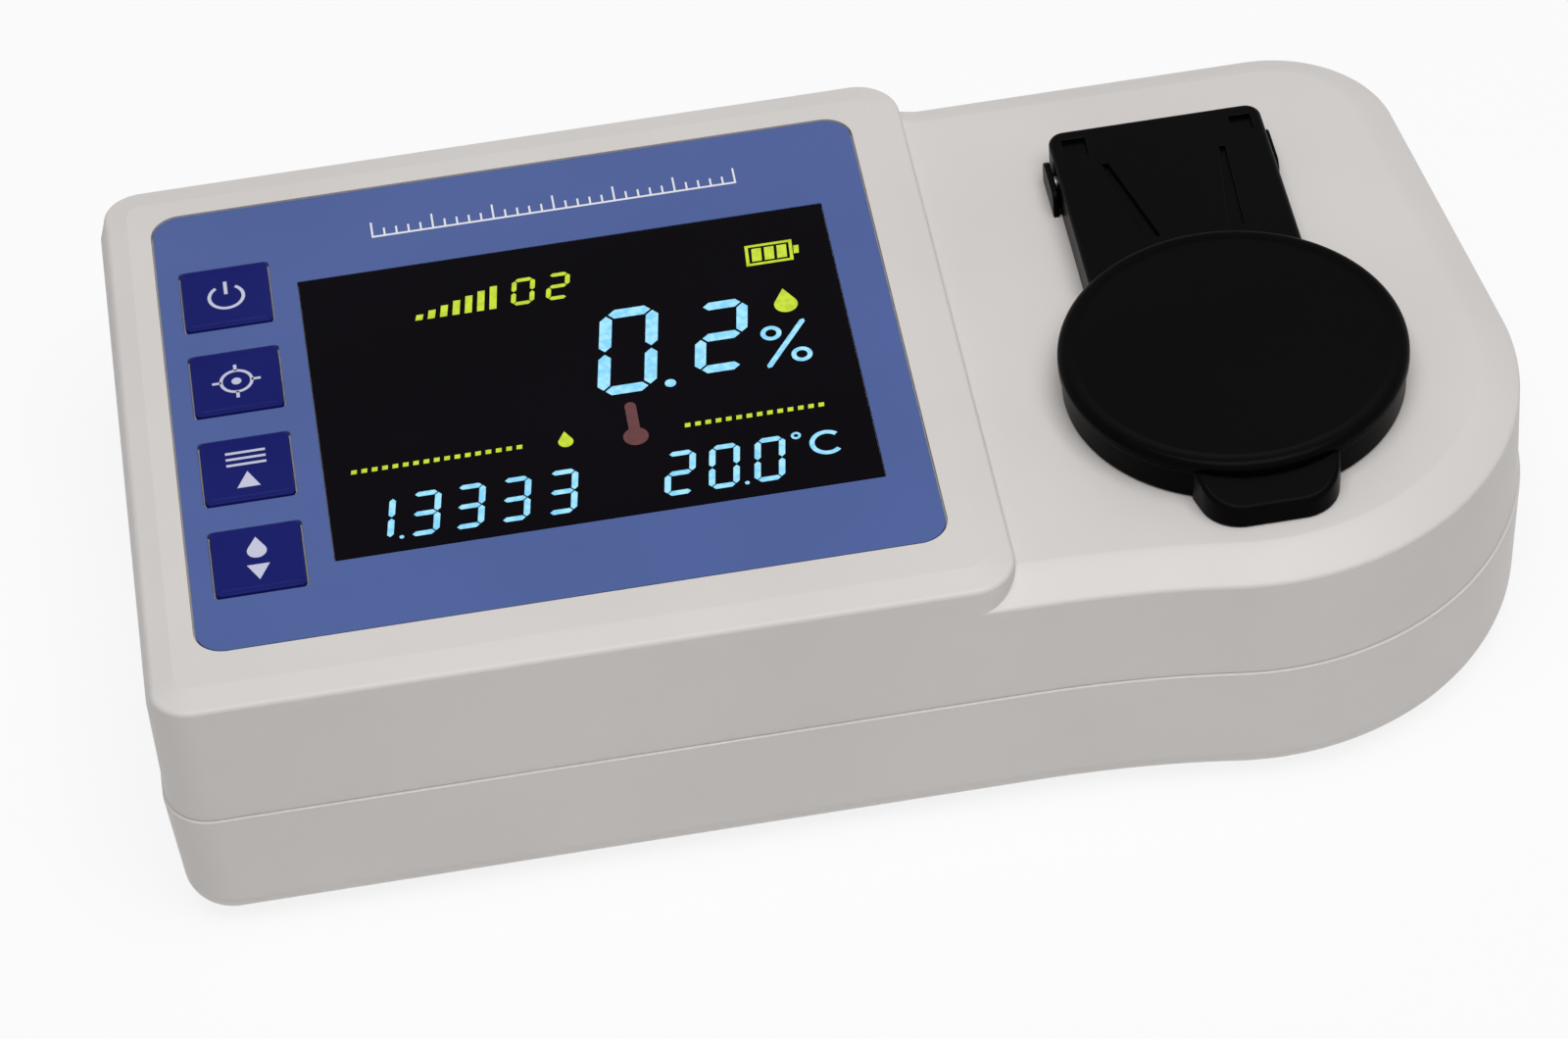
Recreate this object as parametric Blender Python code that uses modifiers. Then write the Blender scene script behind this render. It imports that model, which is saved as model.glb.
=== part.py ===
"""Bench digital refractometer: a low two-part case with a raised display section on the
left, a lower round end on the right, and a hinged black lid over the sample well.

World axes: X runs along the case towards the lid, Y towards the hinge side, Z up.
The origin is on the bench, under the middle of the case. Lengths are in metres.
"""
import math

import bmesh
import bpy
from mathutils import Matrix, Vector

MM = 0.001

# Gaps and joining
CLEARANCE = 0.3 * MM
OVERRUN = 2.0 * MM
WELD = 0.001 * MM
CORNER_STEPS = 5
ROUND_SIDES = 28
SHARP_ANGLE = math.radians(32.0)
SMALL_SIDES = 14
SCREW_SIDES = 10
# The exact solver leaves an edge open on these two, where slanted and curved walls cross
MANIFOLD_PIECES = ("upper_shell", "lid")

# Case in plan
DISPLAY_LENGTH = 126.9 * MM
DISPLAY_DEPTH = 116.1 * MM
LID_MARGIN = 12.6 * MM
CASE_CORNER = 7.0 * MM
NOSE_RADIUS = 43.8 * MM
NOSE_BULGE = 3.3 * MM
BACK_INSET = 3.0 * MM
BACK_CORNER = 20.0 * MM
SIDE_LEAN = math.radians(6.5)
NOSE_START = math.radians(-100.0)
QUARTER = math.pi / 2
NOSE_STEPS = 16
BLEND_STEPS = 5
BACK_BLEND = 4.0 * MM

# Case heights
FOOT_HEIGHT = 1.5 * MM
LOWER_SHELL_HEIGHT = 21.2 * MM
UPPER_WALL_HEIGHT = 17.7 * MM
BAND_WIDTH = 6.4 * MM
BAND_RISE = 3.0 * MM
STEP_RISE = 2.6 * MM
TOP_ROUNDING = 0.8 * MM
TOP_BAND_WIDTH = 3.8 * MM
TOP_BAND_RISE = 0.8 * MM
BASE_ROUNDING = 5.0 * MM
ROUNDING_STEPS = 3
WALL = 2.2 * MM
FLOOR = 3.0 * MM
RIM_PROUD = 0.4 * MM
LIP_THICKNESS = 1.0 * MM
LIP_RISE = 2.0 * MM

# Blue panel, keys and window
PANEL_CORNER = 4.3 * MM
PANEL_FROM_LEFT = 8.3 * MM
PANEL_FROM_RIGHT = 8.6 * MM
PANEL_FROM_FRONT = 11.1 * MM
PANEL_FROM_BACK = 8.4 * MM
PANEL_THICKNESS = 0.7 * MM
RECESS_DEPTH = 1.1 * MM
PANEL_ROOF = 1.9 * MM
WINDOW_FROM_LEFT = 21.4 * MM
WINDOW_FROM_RIGHT = 7.1 * MM
WINDOW_FROM_FRONT = 14.9 * MM
WINDOW_FROM_BACK = 19.4 * MM
WINDOW_LEDGE = 2.5 * MM
KEY_WIDTH = 13.5 * MM
KEY_GAP = 5.8 * MM
KEY_FROM_LEFT = 3.5 * MM
KEY_FROM_FRONT = 10.8 * MM
KEY_FROM_BACK = 13.6 * MM
KEY_PROUD = 0.3 * MM
KEY_CORNER = 0.5 * MM
KEY_THICKNESS = 0.7 * MM
KEY_TRAVEL = 0.5 * MM
KEY_STEM_RADIUS = 2.0 * MM
KEY_NAMES = ("key_down", "key_up", "key_calibrate", "key_power")

# Display module and main board
LCD_MARGIN = 1.8 * MM
LCD_THICKNESS = 2.0 * MM
BACKLIGHT_MARGIN = 2.6 * MM
BACKLIGHT_THICKNESS = 3.0 * MM
BOARD_THICKNESS = 1.6 * MM
BOARD_FROM_LEFT = 6.0 * MM
BOARD_FROM_RIGHT = 6.9 * MM
BOARD_FROM_FRONT = 15.0 * MM
BOARD_FROM_BACK = 15.1 * MM
BOARD_SCREW_INSET = 3.2 * MM
STANDOFF_RADIUS = 2.4 * MM
SWITCH_SIZE = 6.0 * MM
SWITCH_HEIGHT = 3.3 * MM
PLUNGER_RADIUS = 1.6 * MM
PLUNGER_HEIGHT = 0.8 * MM
CHIP_SIZE = 12.0 * MM
CHIP_THICKNESS = 1.4 * MM

# Screws
SMALL_SCREW_RADIUS = 1.0 * MM
SMALL_HEAD_RADIUS = 2.0 * MM
SMALL_HEAD_HEIGHT = 1.5 * MM
BOARD_SCREW_GRIP = 2.8 * MM
CASE_SCREW_RADIUS = 1.4 * MM
CASE_HEAD_RADIUS = 2.7 * MM
CASE_HEAD_HEIGHT = 2.0 * MM
CASE_HEAD_DEPTH = 4.0 * MM
CASE_SCREW_GRIP = 9.0 * MM
CASE_BOSS_RADIUS = 4.8 * MM
CASE_SCREW_INSET = 9.2 * MM
NOSE_SCREW_ANGLE = math.radians(-42.0)

# Feet
FOOT_RADIUS = 6.0 * MM
FOOT_RECESS = 1.0 * MM
FOOT_INSET = 21.0 * MM

# Lid and hinge
LID_RADIUS = 26.1 * MM
LID_HEIGHT = 7.3 * MM
LID_FORWARD = 3.2 * MM
LID_SHEET = 2.0 * MM
LID_WALL = 1.8 * MM
LID_RIM_HEIGHT = 2.0 * MM
LID_RIM_OVERHANG = 0.5 * MM
LID_EDGE = 1.1 * MM
LID_SIDES = 48
PLATE_WIDTH = 33.4 * MM
PLATE_SHIFT = 1.4 * MM
PLATE_DROP = 1.0 * MM
PLATE_CORNER = 2.5 * MM
PLATE_EDGE = 0.9 * MM
PLATE_EDGE_STEPS = 2
TAIL_LENGTH = 7.9 * MM
GROOVE_DEPTH = 0.6 * MM
GROOVE_LENGTH = 18.0 * MM
GROOVE_BACK_WIDTH = 0.9 * MM
GROOVE_FRONT_WIDTH = 2.4 * MM
GROOVE_BACK_SPREAD = 9.9 * MM
GROOVE_FRONT_SPREAD = 6.6 * MM
POCKET_WIDTH = 3.8 * MM
POCKET_LENGTH = 3.0 * MM
POCKET_FROM_SIDE = 1.9 * MM
POCKET_FROM_BACK = 2.2 * MM
TAB_ROOT_WIDTH = 22.0 * MM
TAB_TIP_WIDTH = 18.0 * MM
TAB_REACH = 4.9 * MM
TAB_LIP_HEIGHT = 3.1 * MM
TAB_CORNER = 5.5 * MM
HINGE_TO_LID = 46.9 * MM
HINGE_HEIGHT = 2.9 * MM
EAR_THICKNESS = 1.0 * MM
EAR_RADIUS = 2.8 * MM
PIN_RADIUS = 1.1 * MM
OPEN_ANGLE = math.radians(110.0)
TROUGH_STEPS = 14
SEAL_INNER = 15.6 * MM
SEAL_OUTER = 18.6 * MM

# Sample well and prism
WELL_FLANGE_RADIUS = 20.0 * MM
WELL_FLANGE_THICKNESS = 1.2 * MM
WELL_BODY_RADIUS = 16.2 * MM
WELL_BODY_DEPTH = 6.4 * MM
WELL_BOWL_RADIUS = 15.0 * MM
WELL_BOWL_DEPTH = 4.5 * MM
WELL_FLOOR_RADIUS = 6.5 * MM
GASKET_THICKNESS = 0.8 * MM
GASKET_MARGIN = 0.6 * MM
PRISM_RADIUS = 5.5 * MM
PRISM_TOP_WIDTH = 17.0 * MM
PRISM_BASE_WIDTH = 7.0 * MM
PRISM_DEPTH = 12.0 * MM
PRISM_BODY_HEIGHT = 8.0 * MM

# Optics under the well
BLOCK_LENGTH = 60.0 * MM
BLOCK_HEIGHT = 13.0 * MM
BLOCK_SCREW_INSET = 3.8 * MM
BLOCK_SCREW_GRIP = 2.0 * MM
LIGHT_AXIS_DROP = 6.5 * MM
BARREL_RADIUS = 4.8 * MM
BARREL_WALL = 0.8 * MM
BARREL_LENGTH = 17.0 * MM
LENS_THICKNESS = 3.0 * MM
LENS_EDGE = 1.2 * MM
LENS_FROM_END = 5.0 * MM
LENS_STEPS = 2
LAMP_RADIUS = 2.5 * MM
LAMP_LENGTH = 7.0 * MM
LAMP_FLANGE_RADIUS = 2.9 * MM
LAMP_FLANGE = 1.0 * MM
LAMP_STEPS = 4
OPTIC_BOARD_THICKNESS = 1.2 * MM
LAMP_BOARD_SIZE = 11.0 * MM
SENSOR_BOARD_WIDTH = 23.0 * MM
SENSOR_BOARD_HEIGHT = 12.4 * MM
SENSOR_WIDTH = 8.4 * MM
SENSOR_HEIGHT = 5.0 * MM
SENSOR_THICKNESS = 1.4 * MM
PROBE_RADIUS = 1.2 * MM
PROBE_LENGTH = 6.0 * MM
PROBE_FROM_PRISM = 2.9 * MM
PROBE_FROM_SIDE = 3.6 * MM
RIBBON_WIDTH = 8.0 * MM
RIBBON_THICKNESS = 0.5 * MM
RIBBON_BEND = 5.0 * MM
RIBBON_DROP = 6.5 * MM
RIBBON_FROM_EDGE = 6.0 * MM

# Battery bay
CELL_RADIUS = 7.1 * MM
CELL_LENGTH = 48.8 * MM
CELL_NUB_RADIUS = 2.7 * MM
CELL_NUB_LENGTH = 1.4 * MM
CELL_EDGE = 0.7 * MM
CELL_COUNT = 4
CELL_GAP = 0.6 * MM
CONTACT_THICKNESS = 0.5 * MM
CONTACT_HEIGHT = 11.0 * MM
CONTACT_BUMP_RADIUS = 2.8 * MM
CONTACT_BUMP = 1.2 * MM
BAY_WALL = 1.5 * MM
DOOR_THICKNESS = 2.4 * MM
DOOR_LEDGE = 2.2 * MM
DOOR_PIN_RADIUS = 0.6 * MM
DOOR_PIN_LENGTH = 1.8 * MM
DOOR_EDGE_STEPS = 6
NOTCH_RADIUS = 7.0 * MM
NOTCH_DEPTH = 0.9 * MM
NOTCH_REACH = 2.5 * MM

# Places worked out from the sizes
CASE_LENGTH = DISPLAY_LENGTH + LID_MARGIN + LID_RADIUS + NOSE_RADIUS
CASE_DEPTH = DISPLAY_DEPTH + NOSE_BULGE
LEFT = -CASE_LENGTH / 2
RIGHT = CASE_LENGTH / 2
BACK = CASE_DEPTH / 2
NOSE_FRONT = -CASE_DEPTH / 2
FRONT = NOSE_FRONT + NOSE_BULGE
STEP_X = LEFT + DISPLAY_LENGTH
NOSE_X = RIGHT - NOSE_RADIUS
NOSE_Y = NOSE_FRONT + NOSE_RADIUS
LID_BACK = BACK - BACK_INSET

UNDERSIDE = FOOT_HEIGHT
SEAM = UNDERSIDE + LOWER_SHELL_HEIGHT
BAND_EDGE = SEAM + UPPER_WALL_HEIGHT
PLATEAU = BAND_EDGE + BAND_RISE
DISPLAY_TOP = PLATEAU + STEP_RISE
RECESS_FLOOR = DISPLAY_TOP - RECESS_DEPTH
PANEL_CEILING = RECESS_FLOOR - PANEL_ROOF
PLATEAU_CEILING = PLATEAU - WALL

PANEL_WIDTH = DISPLAY_LENGTH - PANEL_FROM_LEFT - PANEL_FROM_RIGHT
PANEL_DEPTH = DISPLAY_DEPTH - PANEL_FROM_FRONT - PANEL_FROM_BACK
PANEL_LEFT = LEFT + PANEL_FROM_LEFT
PANEL_FRONT = FRONT + PANEL_FROM_FRONT
PANEL_TOP = RECESS_FLOOR + CLEARANCE + PANEL_THICKNESS
WINDOW_WIDTH = PANEL_WIDTH - WINDOW_FROM_LEFT - WINDOW_FROM_RIGHT
WINDOW_DEPTH = PANEL_DEPTH - WINDOW_FROM_FRONT - WINDOW_FROM_BACK
WINDOW_LEFT = PANEL_LEFT + WINDOW_FROM_LEFT
WINDOW_FRONT = PANEL_FRONT + WINDOW_FROM_FRONT
WINDOW_BOX = (WINDOW_LEFT, WINDOW_FRONT, WINDOW_LEFT + WINDOW_WIDTH, WINDOW_FRONT + WINDOW_DEPTH)
KEY_ROOM = PANEL_DEPTH - KEY_FROM_FRONT - KEY_FROM_BACK
KEY_DEPTH = (KEY_ROOM + KEY_GAP) / len(KEY_NAMES) - KEY_GAP
KEY_PITCH = KEY_DEPTH + KEY_GAP

LCD_TOP = PANEL_CEILING - CLEARANCE
BACKLIGHT_TOP = LCD_TOP - LCD_THICKNESS - CLEARANCE
BOARD_TOP = BACKLIGHT_TOP - BACKLIGHT_THICKNESS - CLEARANCE
BOARD_UNDER = BOARD_TOP - BOARD_THICKNESS
BOARD_WIDTH = DISPLAY_LENGTH - BOARD_FROM_LEFT - BOARD_FROM_RIGHT
BOARD_DEPTH = DISPLAY_DEPTH - BOARD_FROM_FRONT - BOARD_FROM_BACK
BOARD_LEFT = LEFT + BOARD_FROM_LEFT
BOARD_FRONT = FRONT + BOARD_FROM_FRONT
BOARD_BOX = (BOARD_LEFT, BOARD_FRONT, BOARD_LEFT + BOARD_WIDTH, BOARD_FRONT + BOARD_DEPTH)
SWITCH_TOP = BOARD_TOP + CLEARANCE + SWITCH_HEIGHT
PLUNGER_TOP = SWITCH_TOP + PLUNGER_HEIGHT

LID_X = NOSE_X
LID_Y = NOSE_Y - LID_FORWARD
LID_BASE = PLATEAU + CLEARANCE
LID_TOP = LID_BASE + LID_HEIGHT
LID_CEILING = LID_TOP - LID_SHEET
LID_BORE = LID_RADIUS - LID_RIM_OVERHANG - LID_WALL
PLATE_TOP = LID_TOP - PLATE_DROP
HINGE_Y = LID_Y + HINGE_TO_LID
HINGE_Z = PLATEAU + HINGE_HEIGHT
ARM_X = LID_X - PLATE_SHIFT
HINGE = Vector((ARM_X, HINGE_Y, HINGE_Z))
TAIL_END = HINGE_Y + TAIL_LENGTH
FLANGE_DROP = HINGE_Z - LID_BASE
TROUGH_RADIUS = math.hypot(TAIL_LENGTH, FLANGE_DROP) + CLEARANCE * 1.5
TROUGH_HALF = PLATE_WIDTH / 2 + CLEARANCE
EAR_INNER = TROUGH_HALF
EAR_OUTER = EAR_INNER + EAR_THICKNESS

WELL_SEAT = PLATEAU + GASKET_THICKNESS + 2 * CLEARANCE
WELL_TOP = WELL_SEAT + WELL_FLANGE_THICKNESS
WELL_UNDER = WELL_SEAT - WELL_BODY_DEPTH
WELL_FLOOR = WELL_TOP - WELL_BOWL_DEPTH
PRISM_HOLE = PRISM_RADIUS + CLEARANCE
PRISM_SHOULDER = WELL_UNDER - CLEARANCE
BLOCK_TOP = WELL_UNDER - CLEARANCE
BLOCK_UNDER = BLOCK_TOP - BLOCK_HEIGHT
LIGHT_AXIS = BLOCK_TOP - LIGHT_AXIS_DROP
BLOCK_DEPTH = PRISM_DEPTH + 2 * (PROBE_FROM_PRISM + PROBE_FROM_SIDE)
BLOCK_LEFT = LID_X - BLOCK_LENGTH / 2
BLOCK_RIGHT = LID_X + BLOCK_LENGTH / 2

BAY_LENGTH = (CELL_LENGTH + CELL_NUB_LENGTH
              + 2 * (CONTACT_THICKNESS + CONTACT_BUMP + 2 * CLEARANCE))
CELL_PITCH = 2 * CELL_RADIUS + CELL_GAP
BAY_DEPTH = CELL_COUNT * CELL_PITCH + CELL_GAP
BAY_X = LEFT + DISPLAY_LENGTH / 2
BAY_Y = FRONT + DISPLAY_DEPTH / 2
DOOR_TOP = UNDERSIDE + DOOR_THICKNESS
BAY_FLOOR = DOOR_TOP + CLEARANCE
CELL_Z = BAY_FLOOR + CLEARANCE + CELL_RADIUS
BAY_CEILING = CELL_Z + CELL_RADIUS + CLEARANCE
DOOR_LENGTH = BAY_LENGTH + 2 * DOOR_LEDGE
DOOR_DEPTH = BAY_DEPTH + 2 * DOOR_LEDGE
DOOR_LEFT = BAY_X - DOOR_LENGTH / 2
DOOR_HINGE = Vector((DOOR_LEFT + DOOR_THICKNESS / 2, BAY_Y, UNDERSIDE + DOOR_THICKNESS / 2))


# Collections, materials and pieces

def clear_scene():
    """Empties the scene that the file opened with."""
    for item in list(bpy.data.objects):
        bpy.data.objects.remove(item, do_unlink=True)


def new_collection(name):
    collection = bpy.data.collections.new(name)
    bpy.context.scene.collection.children.link(collection)
    return collection


def new_material(name, color, roughness, metallic=0.0, alpha=1.0):
    """A plain surface with its colour, roughness and metallic value."""
    material = bpy.data.materials.new(name)
    material.use_nodes = True
    shader = material.node_tree.nodes["Principled BSDF"]
    shader.inputs["Base Color"].default_value = (*color, 1.0)
    shader.inputs["Roughness"].default_value = roughness
    shader.inputs["Metallic"].default_value = metallic
    shader.inputs["Alpha"].default_value = alpha
    material.diffuse_color = (*color, alpha)
    return material


class Model:
    """Holds the collections, the empties and the materials of the instrument."""

    def __init__(self):
        self.parts = new_collection("digital_refractometer")
        self.cutters = new_collection("cutters")
        self.frame = self.empty("case_frame", Vector((0, 0, 0)), None)
        self.lid_axis = self.empty("lid_axis", HINGE, self.frame)
        self.material = {
            "case": new_material("case_plastic", (0.68, 0.65, 0.62), 0.45),
            "blue": new_material("panel_film", (0.08, 0.13, 0.38), 0.35),
            "navy": new_material("key_film", (0.015, 0.02, 0.16), 0.35),
            "window": new_material("window_acrylic", (0.004, 0.005, 0.006), 0.12),
            "glass": new_material("optical_glass", (0.86, 0.92, 0.95), 0.05, alpha=0.4),
            "lcd": new_material("lcd_glass", (0.02, 0.03, 0.04), 0.15),
            "white": new_material("backlight_plastic", (0.8, 0.8, 0.78), 0.5),
            "board": new_material("circuit_board", (0.02, 0.16, 0.06), 0.5),
            "chip": new_material("chip_plastic", (0.02, 0.02, 0.022), 0.5),
            "steel": new_material("polished_steel", (0.62, 0.62, 0.63), 0.25, 1.0),
            "zinc": new_material("screw_zinc", (0.55, 0.56, 0.58), 0.35, 1.0),
            "alloy": new_material("block_aluminium", (0.5, 0.51, 0.52), 0.4, 1.0),
            "black": new_material("lid_plastic", (0.008, 0.008, 0.009), 0.3),
            "rubber": new_material("black_rubber", (0.02, 0.02, 0.02), 0.8),
            "lamp": new_material("lamp_resin", (0.9, 0.75, 0.3), 0.2, alpha=0.8),
            "cell": new_material("cell_jacket", (0.03, 0.1, 0.07), 0.35),
            "ribbon": new_material("ribbon_film", (0.55, 0.55, 0.55), 0.6),
        }

    def empty(self, name, place, parent):
        item = bpy.data.objects.new(name, None)
        self.parts.objects.link(item)
        item.parent = parent
        item.location = place
        return item

    def piece(self, name, bm, material, origin, parent=None):
        """Adds a shape drawn in world places as an object with its own origin."""
        bmesh.ops.translate(bm, verts=bm.verts, vec=-Vector(origin))
        mesh = to_mesh(bm, name)
        mesh.shade_smooth()
        mesh.set_sharp_from_angle(angle=SHARP_ANGLE)
        mesh.materials.append(self.material[material])
        item = bpy.data.objects.new(name, mesh)
        self.parts.objects.link(item)
        carrier = parent or self.frame
        item.parent = carrier
        item.location = Vector(origin) - carrier.location
        return item

    def copy(self, item, name, place):
        """Another object with the same mesh at another place."""
        twin = bpy.data.objects.new(name, item.data)
        self.parts.objects.link(twin)
        twin.parent = item.parent
        twin.location = Vector(place) - item.parent.location

    def change(self, item, operation, bm, what):
        """Joins a shape to an object, or cuts it away, with a live Boolean."""
        cutter = bpy.data.objects.new(item.name + "_" + what, to_mesh(bm, what))
        cutter.hide_render = True
        cutter.display_type = "WIRE"
        self.cutters.objects.link(cutter)
        step = item.modifiers.new(what, "BOOLEAN")
        step.operation = operation
        step.object = cutter
        if item.name in MANIFOLD_PIECES:
            step.solver = "MANIFOLD"

    def join(self, item, bm, what):
        self.change(item, "UNION", bm, what)

    def cut(self, item, bm, what):
        self.change(item, "DIFFERENCE", bm, what)


# Outlines in plan

def arc(centre, radius, start, end, steps):
    """Points on a circle between two angles, both ends included."""
    points = []
    for i in range(steps + 1):
        angle = start + (end - start) * i / steps
        points.append((centre[0] + radius * math.cos(angle), centre[1] + radius * math.sin(angle)))
    return points


def blend(start, start_way, end, end_way, steps):
    """Inner points of a smooth curve that leaves and arrives along given ways."""
    reach = math.dist(start, end)
    points = []
    for i in range(1, steps):
        t = i / steps
        weights = (2 * t**3 - 3 * t**2 + 1, t**3 - 2 * t**2 + t, 3 * t**2 - 2 * t**3, t**3 - t**2)
        points.append(tuple(
            weights[0] * start[k] + weights[1] * reach * start_way[k]
            + weights[2] * end[k] + weights[3] * reach * end_way[k] for k in (0, 1)))
    return points


def rounded(corners, radii, steps=CORNER_STEPS):
    """A closed outline through corners, each replaced by an arc of its own radius."""
    points = []
    count = len(corners)
    for i, corner in enumerate(corners):
        here = Vector(corner)
        before = (Vector(corners[i - 1]) - here).normalized()
        after = (Vector(corners[(i + 1) % count]) - here).normalized()
        radius = radii[i]
        if radius == 0:
            points.append(tuple(here))
            continue
        half = before.angle(after) / 2
        centre = here + (before + after).normalized() * radius / math.sin(half)
        first = here + before * radius / math.tan(half) - centre
        last = here + after * radius / math.tan(half) - centre
        start = math.atan2(first.y, first.x)
        turn = math.atan2(first.x * last.y - first.y * last.x, first.dot(last))
        points += arc(centre, radius, start, start + turn, steps)
    return points


def rectangle(box, radius=0.0, grow=0.0):
    """A rounded rectangle, counter-clockwise, grown on every side."""
    x0, y0, x1, y1 = box
    corners = ((x0 - grow, y0 - grow), (x1 + grow, y0 - grow),
               (x1 + grow, y1 + grow), (x0 - grow, y1 + grow))
    return rounded(corners, (radius,) * 4)


def left_corners(inset):
    """The two rounded left corners of the case: back one first, then the front one."""
    radius = CASE_CORNER - inset
    x = LEFT + CASE_CORNER
    back = arc((x, BACK - CASE_CORNER), radius, QUARTER, 2 * QUARTER, CORNER_STEPS)
    front = arc((x, FRONT + CASE_CORNER), radius, 2 * QUARTER, 3 * QUARTER, CORNER_STEPS)
    return back + front


def display_outline(inset=0.0):
    """Plan of the raised display section, a rectangle with rounded corners."""
    radius = CASE_CORNER - inset
    x = STEP_X - CASE_CORNER
    front = arc((x, FRONT + CASE_CORNER), radius, -QUARTER, 0, CORNER_STEPS)
    back = arc((x, BACK - CASE_CORNER), radius, 0, QUARTER, CORNER_STEPS)
    return left_corners(inset) + front + back


def end_wall(inset):
    """The wall of the round end, from the display section's front to its back: a soft
    blend, a round nose that bulges forward, a right side that leans in towards the
    back, a rounded back corner and a back that is slightly shallower."""
    nose = NOSE_RADIUS - inset
    lean = Vector((math.cos(SIDE_LEAN), math.sin(SIDE_LEAN)))
    corner_y = LID_BACK - BACK_CORNER
    inward = NOSE_RADIUS - BACK_CORNER
    along = (corner_y - NOSE_Y - inward * lean.y) / lean.x
    back_corner = (NOSE_X + inward * lean.x - along * lean.y, corner_y)
    nose_wall = arc((NOSE_X, NOSE_Y), nose, NOSE_START, SIDE_LEAN, NOSE_STEPS)
    nose_way = (-math.sin(NOSE_START), math.cos(NOSE_START))
    front_start = (STEP_X - CASE_CORNER, FRONT + inset)
    front_end = (STEP_X, FRONT + inset)
    back_start = (STEP_X + BACK_BLEND, LID_BACK - inset)
    back_end = (STEP_X - CASE_CORNER, BACK - inset)
    points = [front_start, front_end]
    points += blend(front_end, (1, 0), nose_wall[0], nose_way, BLEND_STEPS)
    points += nose_wall
    points += arc(back_corner, BACK_CORNER - inset, SIDE_LEAN, QUARTER, CORNER_STEPS + 2)
    points.append(back_start)
    points += blend(back_start, (-1, 0), back_end, (-1, 0), BLEND_STEPS)
    points.append(back_end)
    return points


def end_outline(inset=0.0):
    """Plan of the round end, closed by a blunt root inside the display section."""
    root = STEP_X - 3 * CASE_CORNER
    return end_wall(inset) + [(root, BACK - 3 * CASE_CORNER), (root, FRONT + 3 * CASE_CORNER)]


def case_outline(inset=0.0):
    """Plan of the whole case wall."""
    return end_wall(inset) + left_corners(inset)


def strip(path, thickness):
    """Closed outline of a band that follows an open path."""
    sides = ([], [])
    for i, point in enumerate(path):
        before = Vector(path[max(i - 1, 0)])
        after = Vector(path[min(i + 1, len(path) - 1)])
        way = (after - before).normalized()
        normal = Vector((-way.y, way.x)) * thickness / 2
        sides[0].append(tuple(Vector(point) + normal))
        sides[1].append(tuple(Vector(point) - normal))
    return sides[1] + sides[0][::-1]


# Solids

def to_mesh(bm, name):
    mesh = bpy.data.meshes.new(name)
    bm.normal_update()
    bm.to_mesh(mesh)
    bm.free()
    return mesh


def slab(rings, bottom, top):
    """A flat outline raised between two heights; further outlines inside are holes."""
    curve = bpy.data.curves.new("outline", "CURVE")
    curve.dimensions = "2D"
    curve.fill_mode = "BOTH"
    curve.extrude = (top - bottom) / 2
    for ring in rings:
        spline = curve.splines.new("POLY")
        spline.points.add(len(ring) - 1)
        for point, place in zip(spline.points, ring):
            point.co = (place[0], place[1], 0.0, 1.0)
        spline.use_cyclic_u = True
    item = bpy.data.objects.new("outline", curve)
    bpy.context.scene.collection.objects.link(item)
    item.location.z = (top + bottom) / 2
    shaped = item.evaluated_get(bpy.context.evaluated_depsgraph_get())
    mesh = bpy.data.meshes.new_from_object(shaped)
    bm = bmesh.new()
    bm.from_mesh(mesh)
    bm.transform(Matrix.Translation(item.location))
    bmesh.ops.remove_doubles(bm, verts=bm.verts, dist=WELD)
    bmesh.ops.recalc_face_normals(bm, faces=bm.faces)
    bpy.data.objects.remove(item, do_unlink=True)
    bpy.data.curves.remove(curve)
    bpy.data.meshes.remove(mesh)
    return bm


def end_faces(bm, way):
    """The faces that lie all at the top (way 1) or all at the bottom (way -1)."""
    edge = max(way * vert.co.z for vert in bm.verts) - WELD
    return [face for face in bm.faces if all(way * vert.co.z > edge for vert in face.verts)]


def crown(bm, radius, way=1, steps=ROUNDING_STEPS):
    """Rounds the rim of the top or bottom outwards by insetting it along a quarter circle."""
    bmesh.ops.dissolve_faces(bm, faces=end_faces(bm, way))
    for i in range(steps):
        low = QUARTER * i / steps
        high = QUARTER * (i + 1) / steps
        bmesh.ops.inset_region(bm, faces=end_faces(bm, way), use_even_offset=True,
                               thickness=radius * (math.cos(low) - math.cos(high)),
                               depth=radius * (math.sin(high) - math.sin(low)))
    return bm


def slope(bm, width, rise, way=1):
    """Adds a sloping band around the top or bottom of a slab."""
    bmesh.ops.dissolve_faces(bm, faces=end_faces(bm, way))
    bmesh.ops.inset_region(bm, faces=end_faces(bm, way), use_even_offset=True,
                           thickness=width, depth=rise)
    return bm


def block(low, high):
    """A box between two corners."""
    bm = bmesh.new()
    low = Vector(low)
    high = Vector(high)
    place = Matrix.Translation((low + high) / 2) @ Matrix.Diagonal((*(high - low), 1.0))
    bmesh.ops.create_cube(bm, size=1.0, matrix=place)
    return bm


def merged(shapes):
    """Puts separate solids together in one mesh."""
    whole = bmesh.new()
    for shape in shapes:
        mesh = to_mesh(shape, "loose")
        whole.from_mesh(mesh)
        bpy.data.meshes.remove(mesh)
    return whole


def rod(centre, radius, bottom, top, sides=SMALL_SIDES):
    """An upright cylinder over a point in plan."""
    bm = bmesh.new()
    place = Matrix.Translation((centre[0], centre[1], (bottom + top) / 2))
    bmesh.ops.create_cone(bm, cap_ends=True, segments=sides, radius1=radius, radius2=radius,
                          depth=top - bottom, matrix=place)
    return bm


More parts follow.
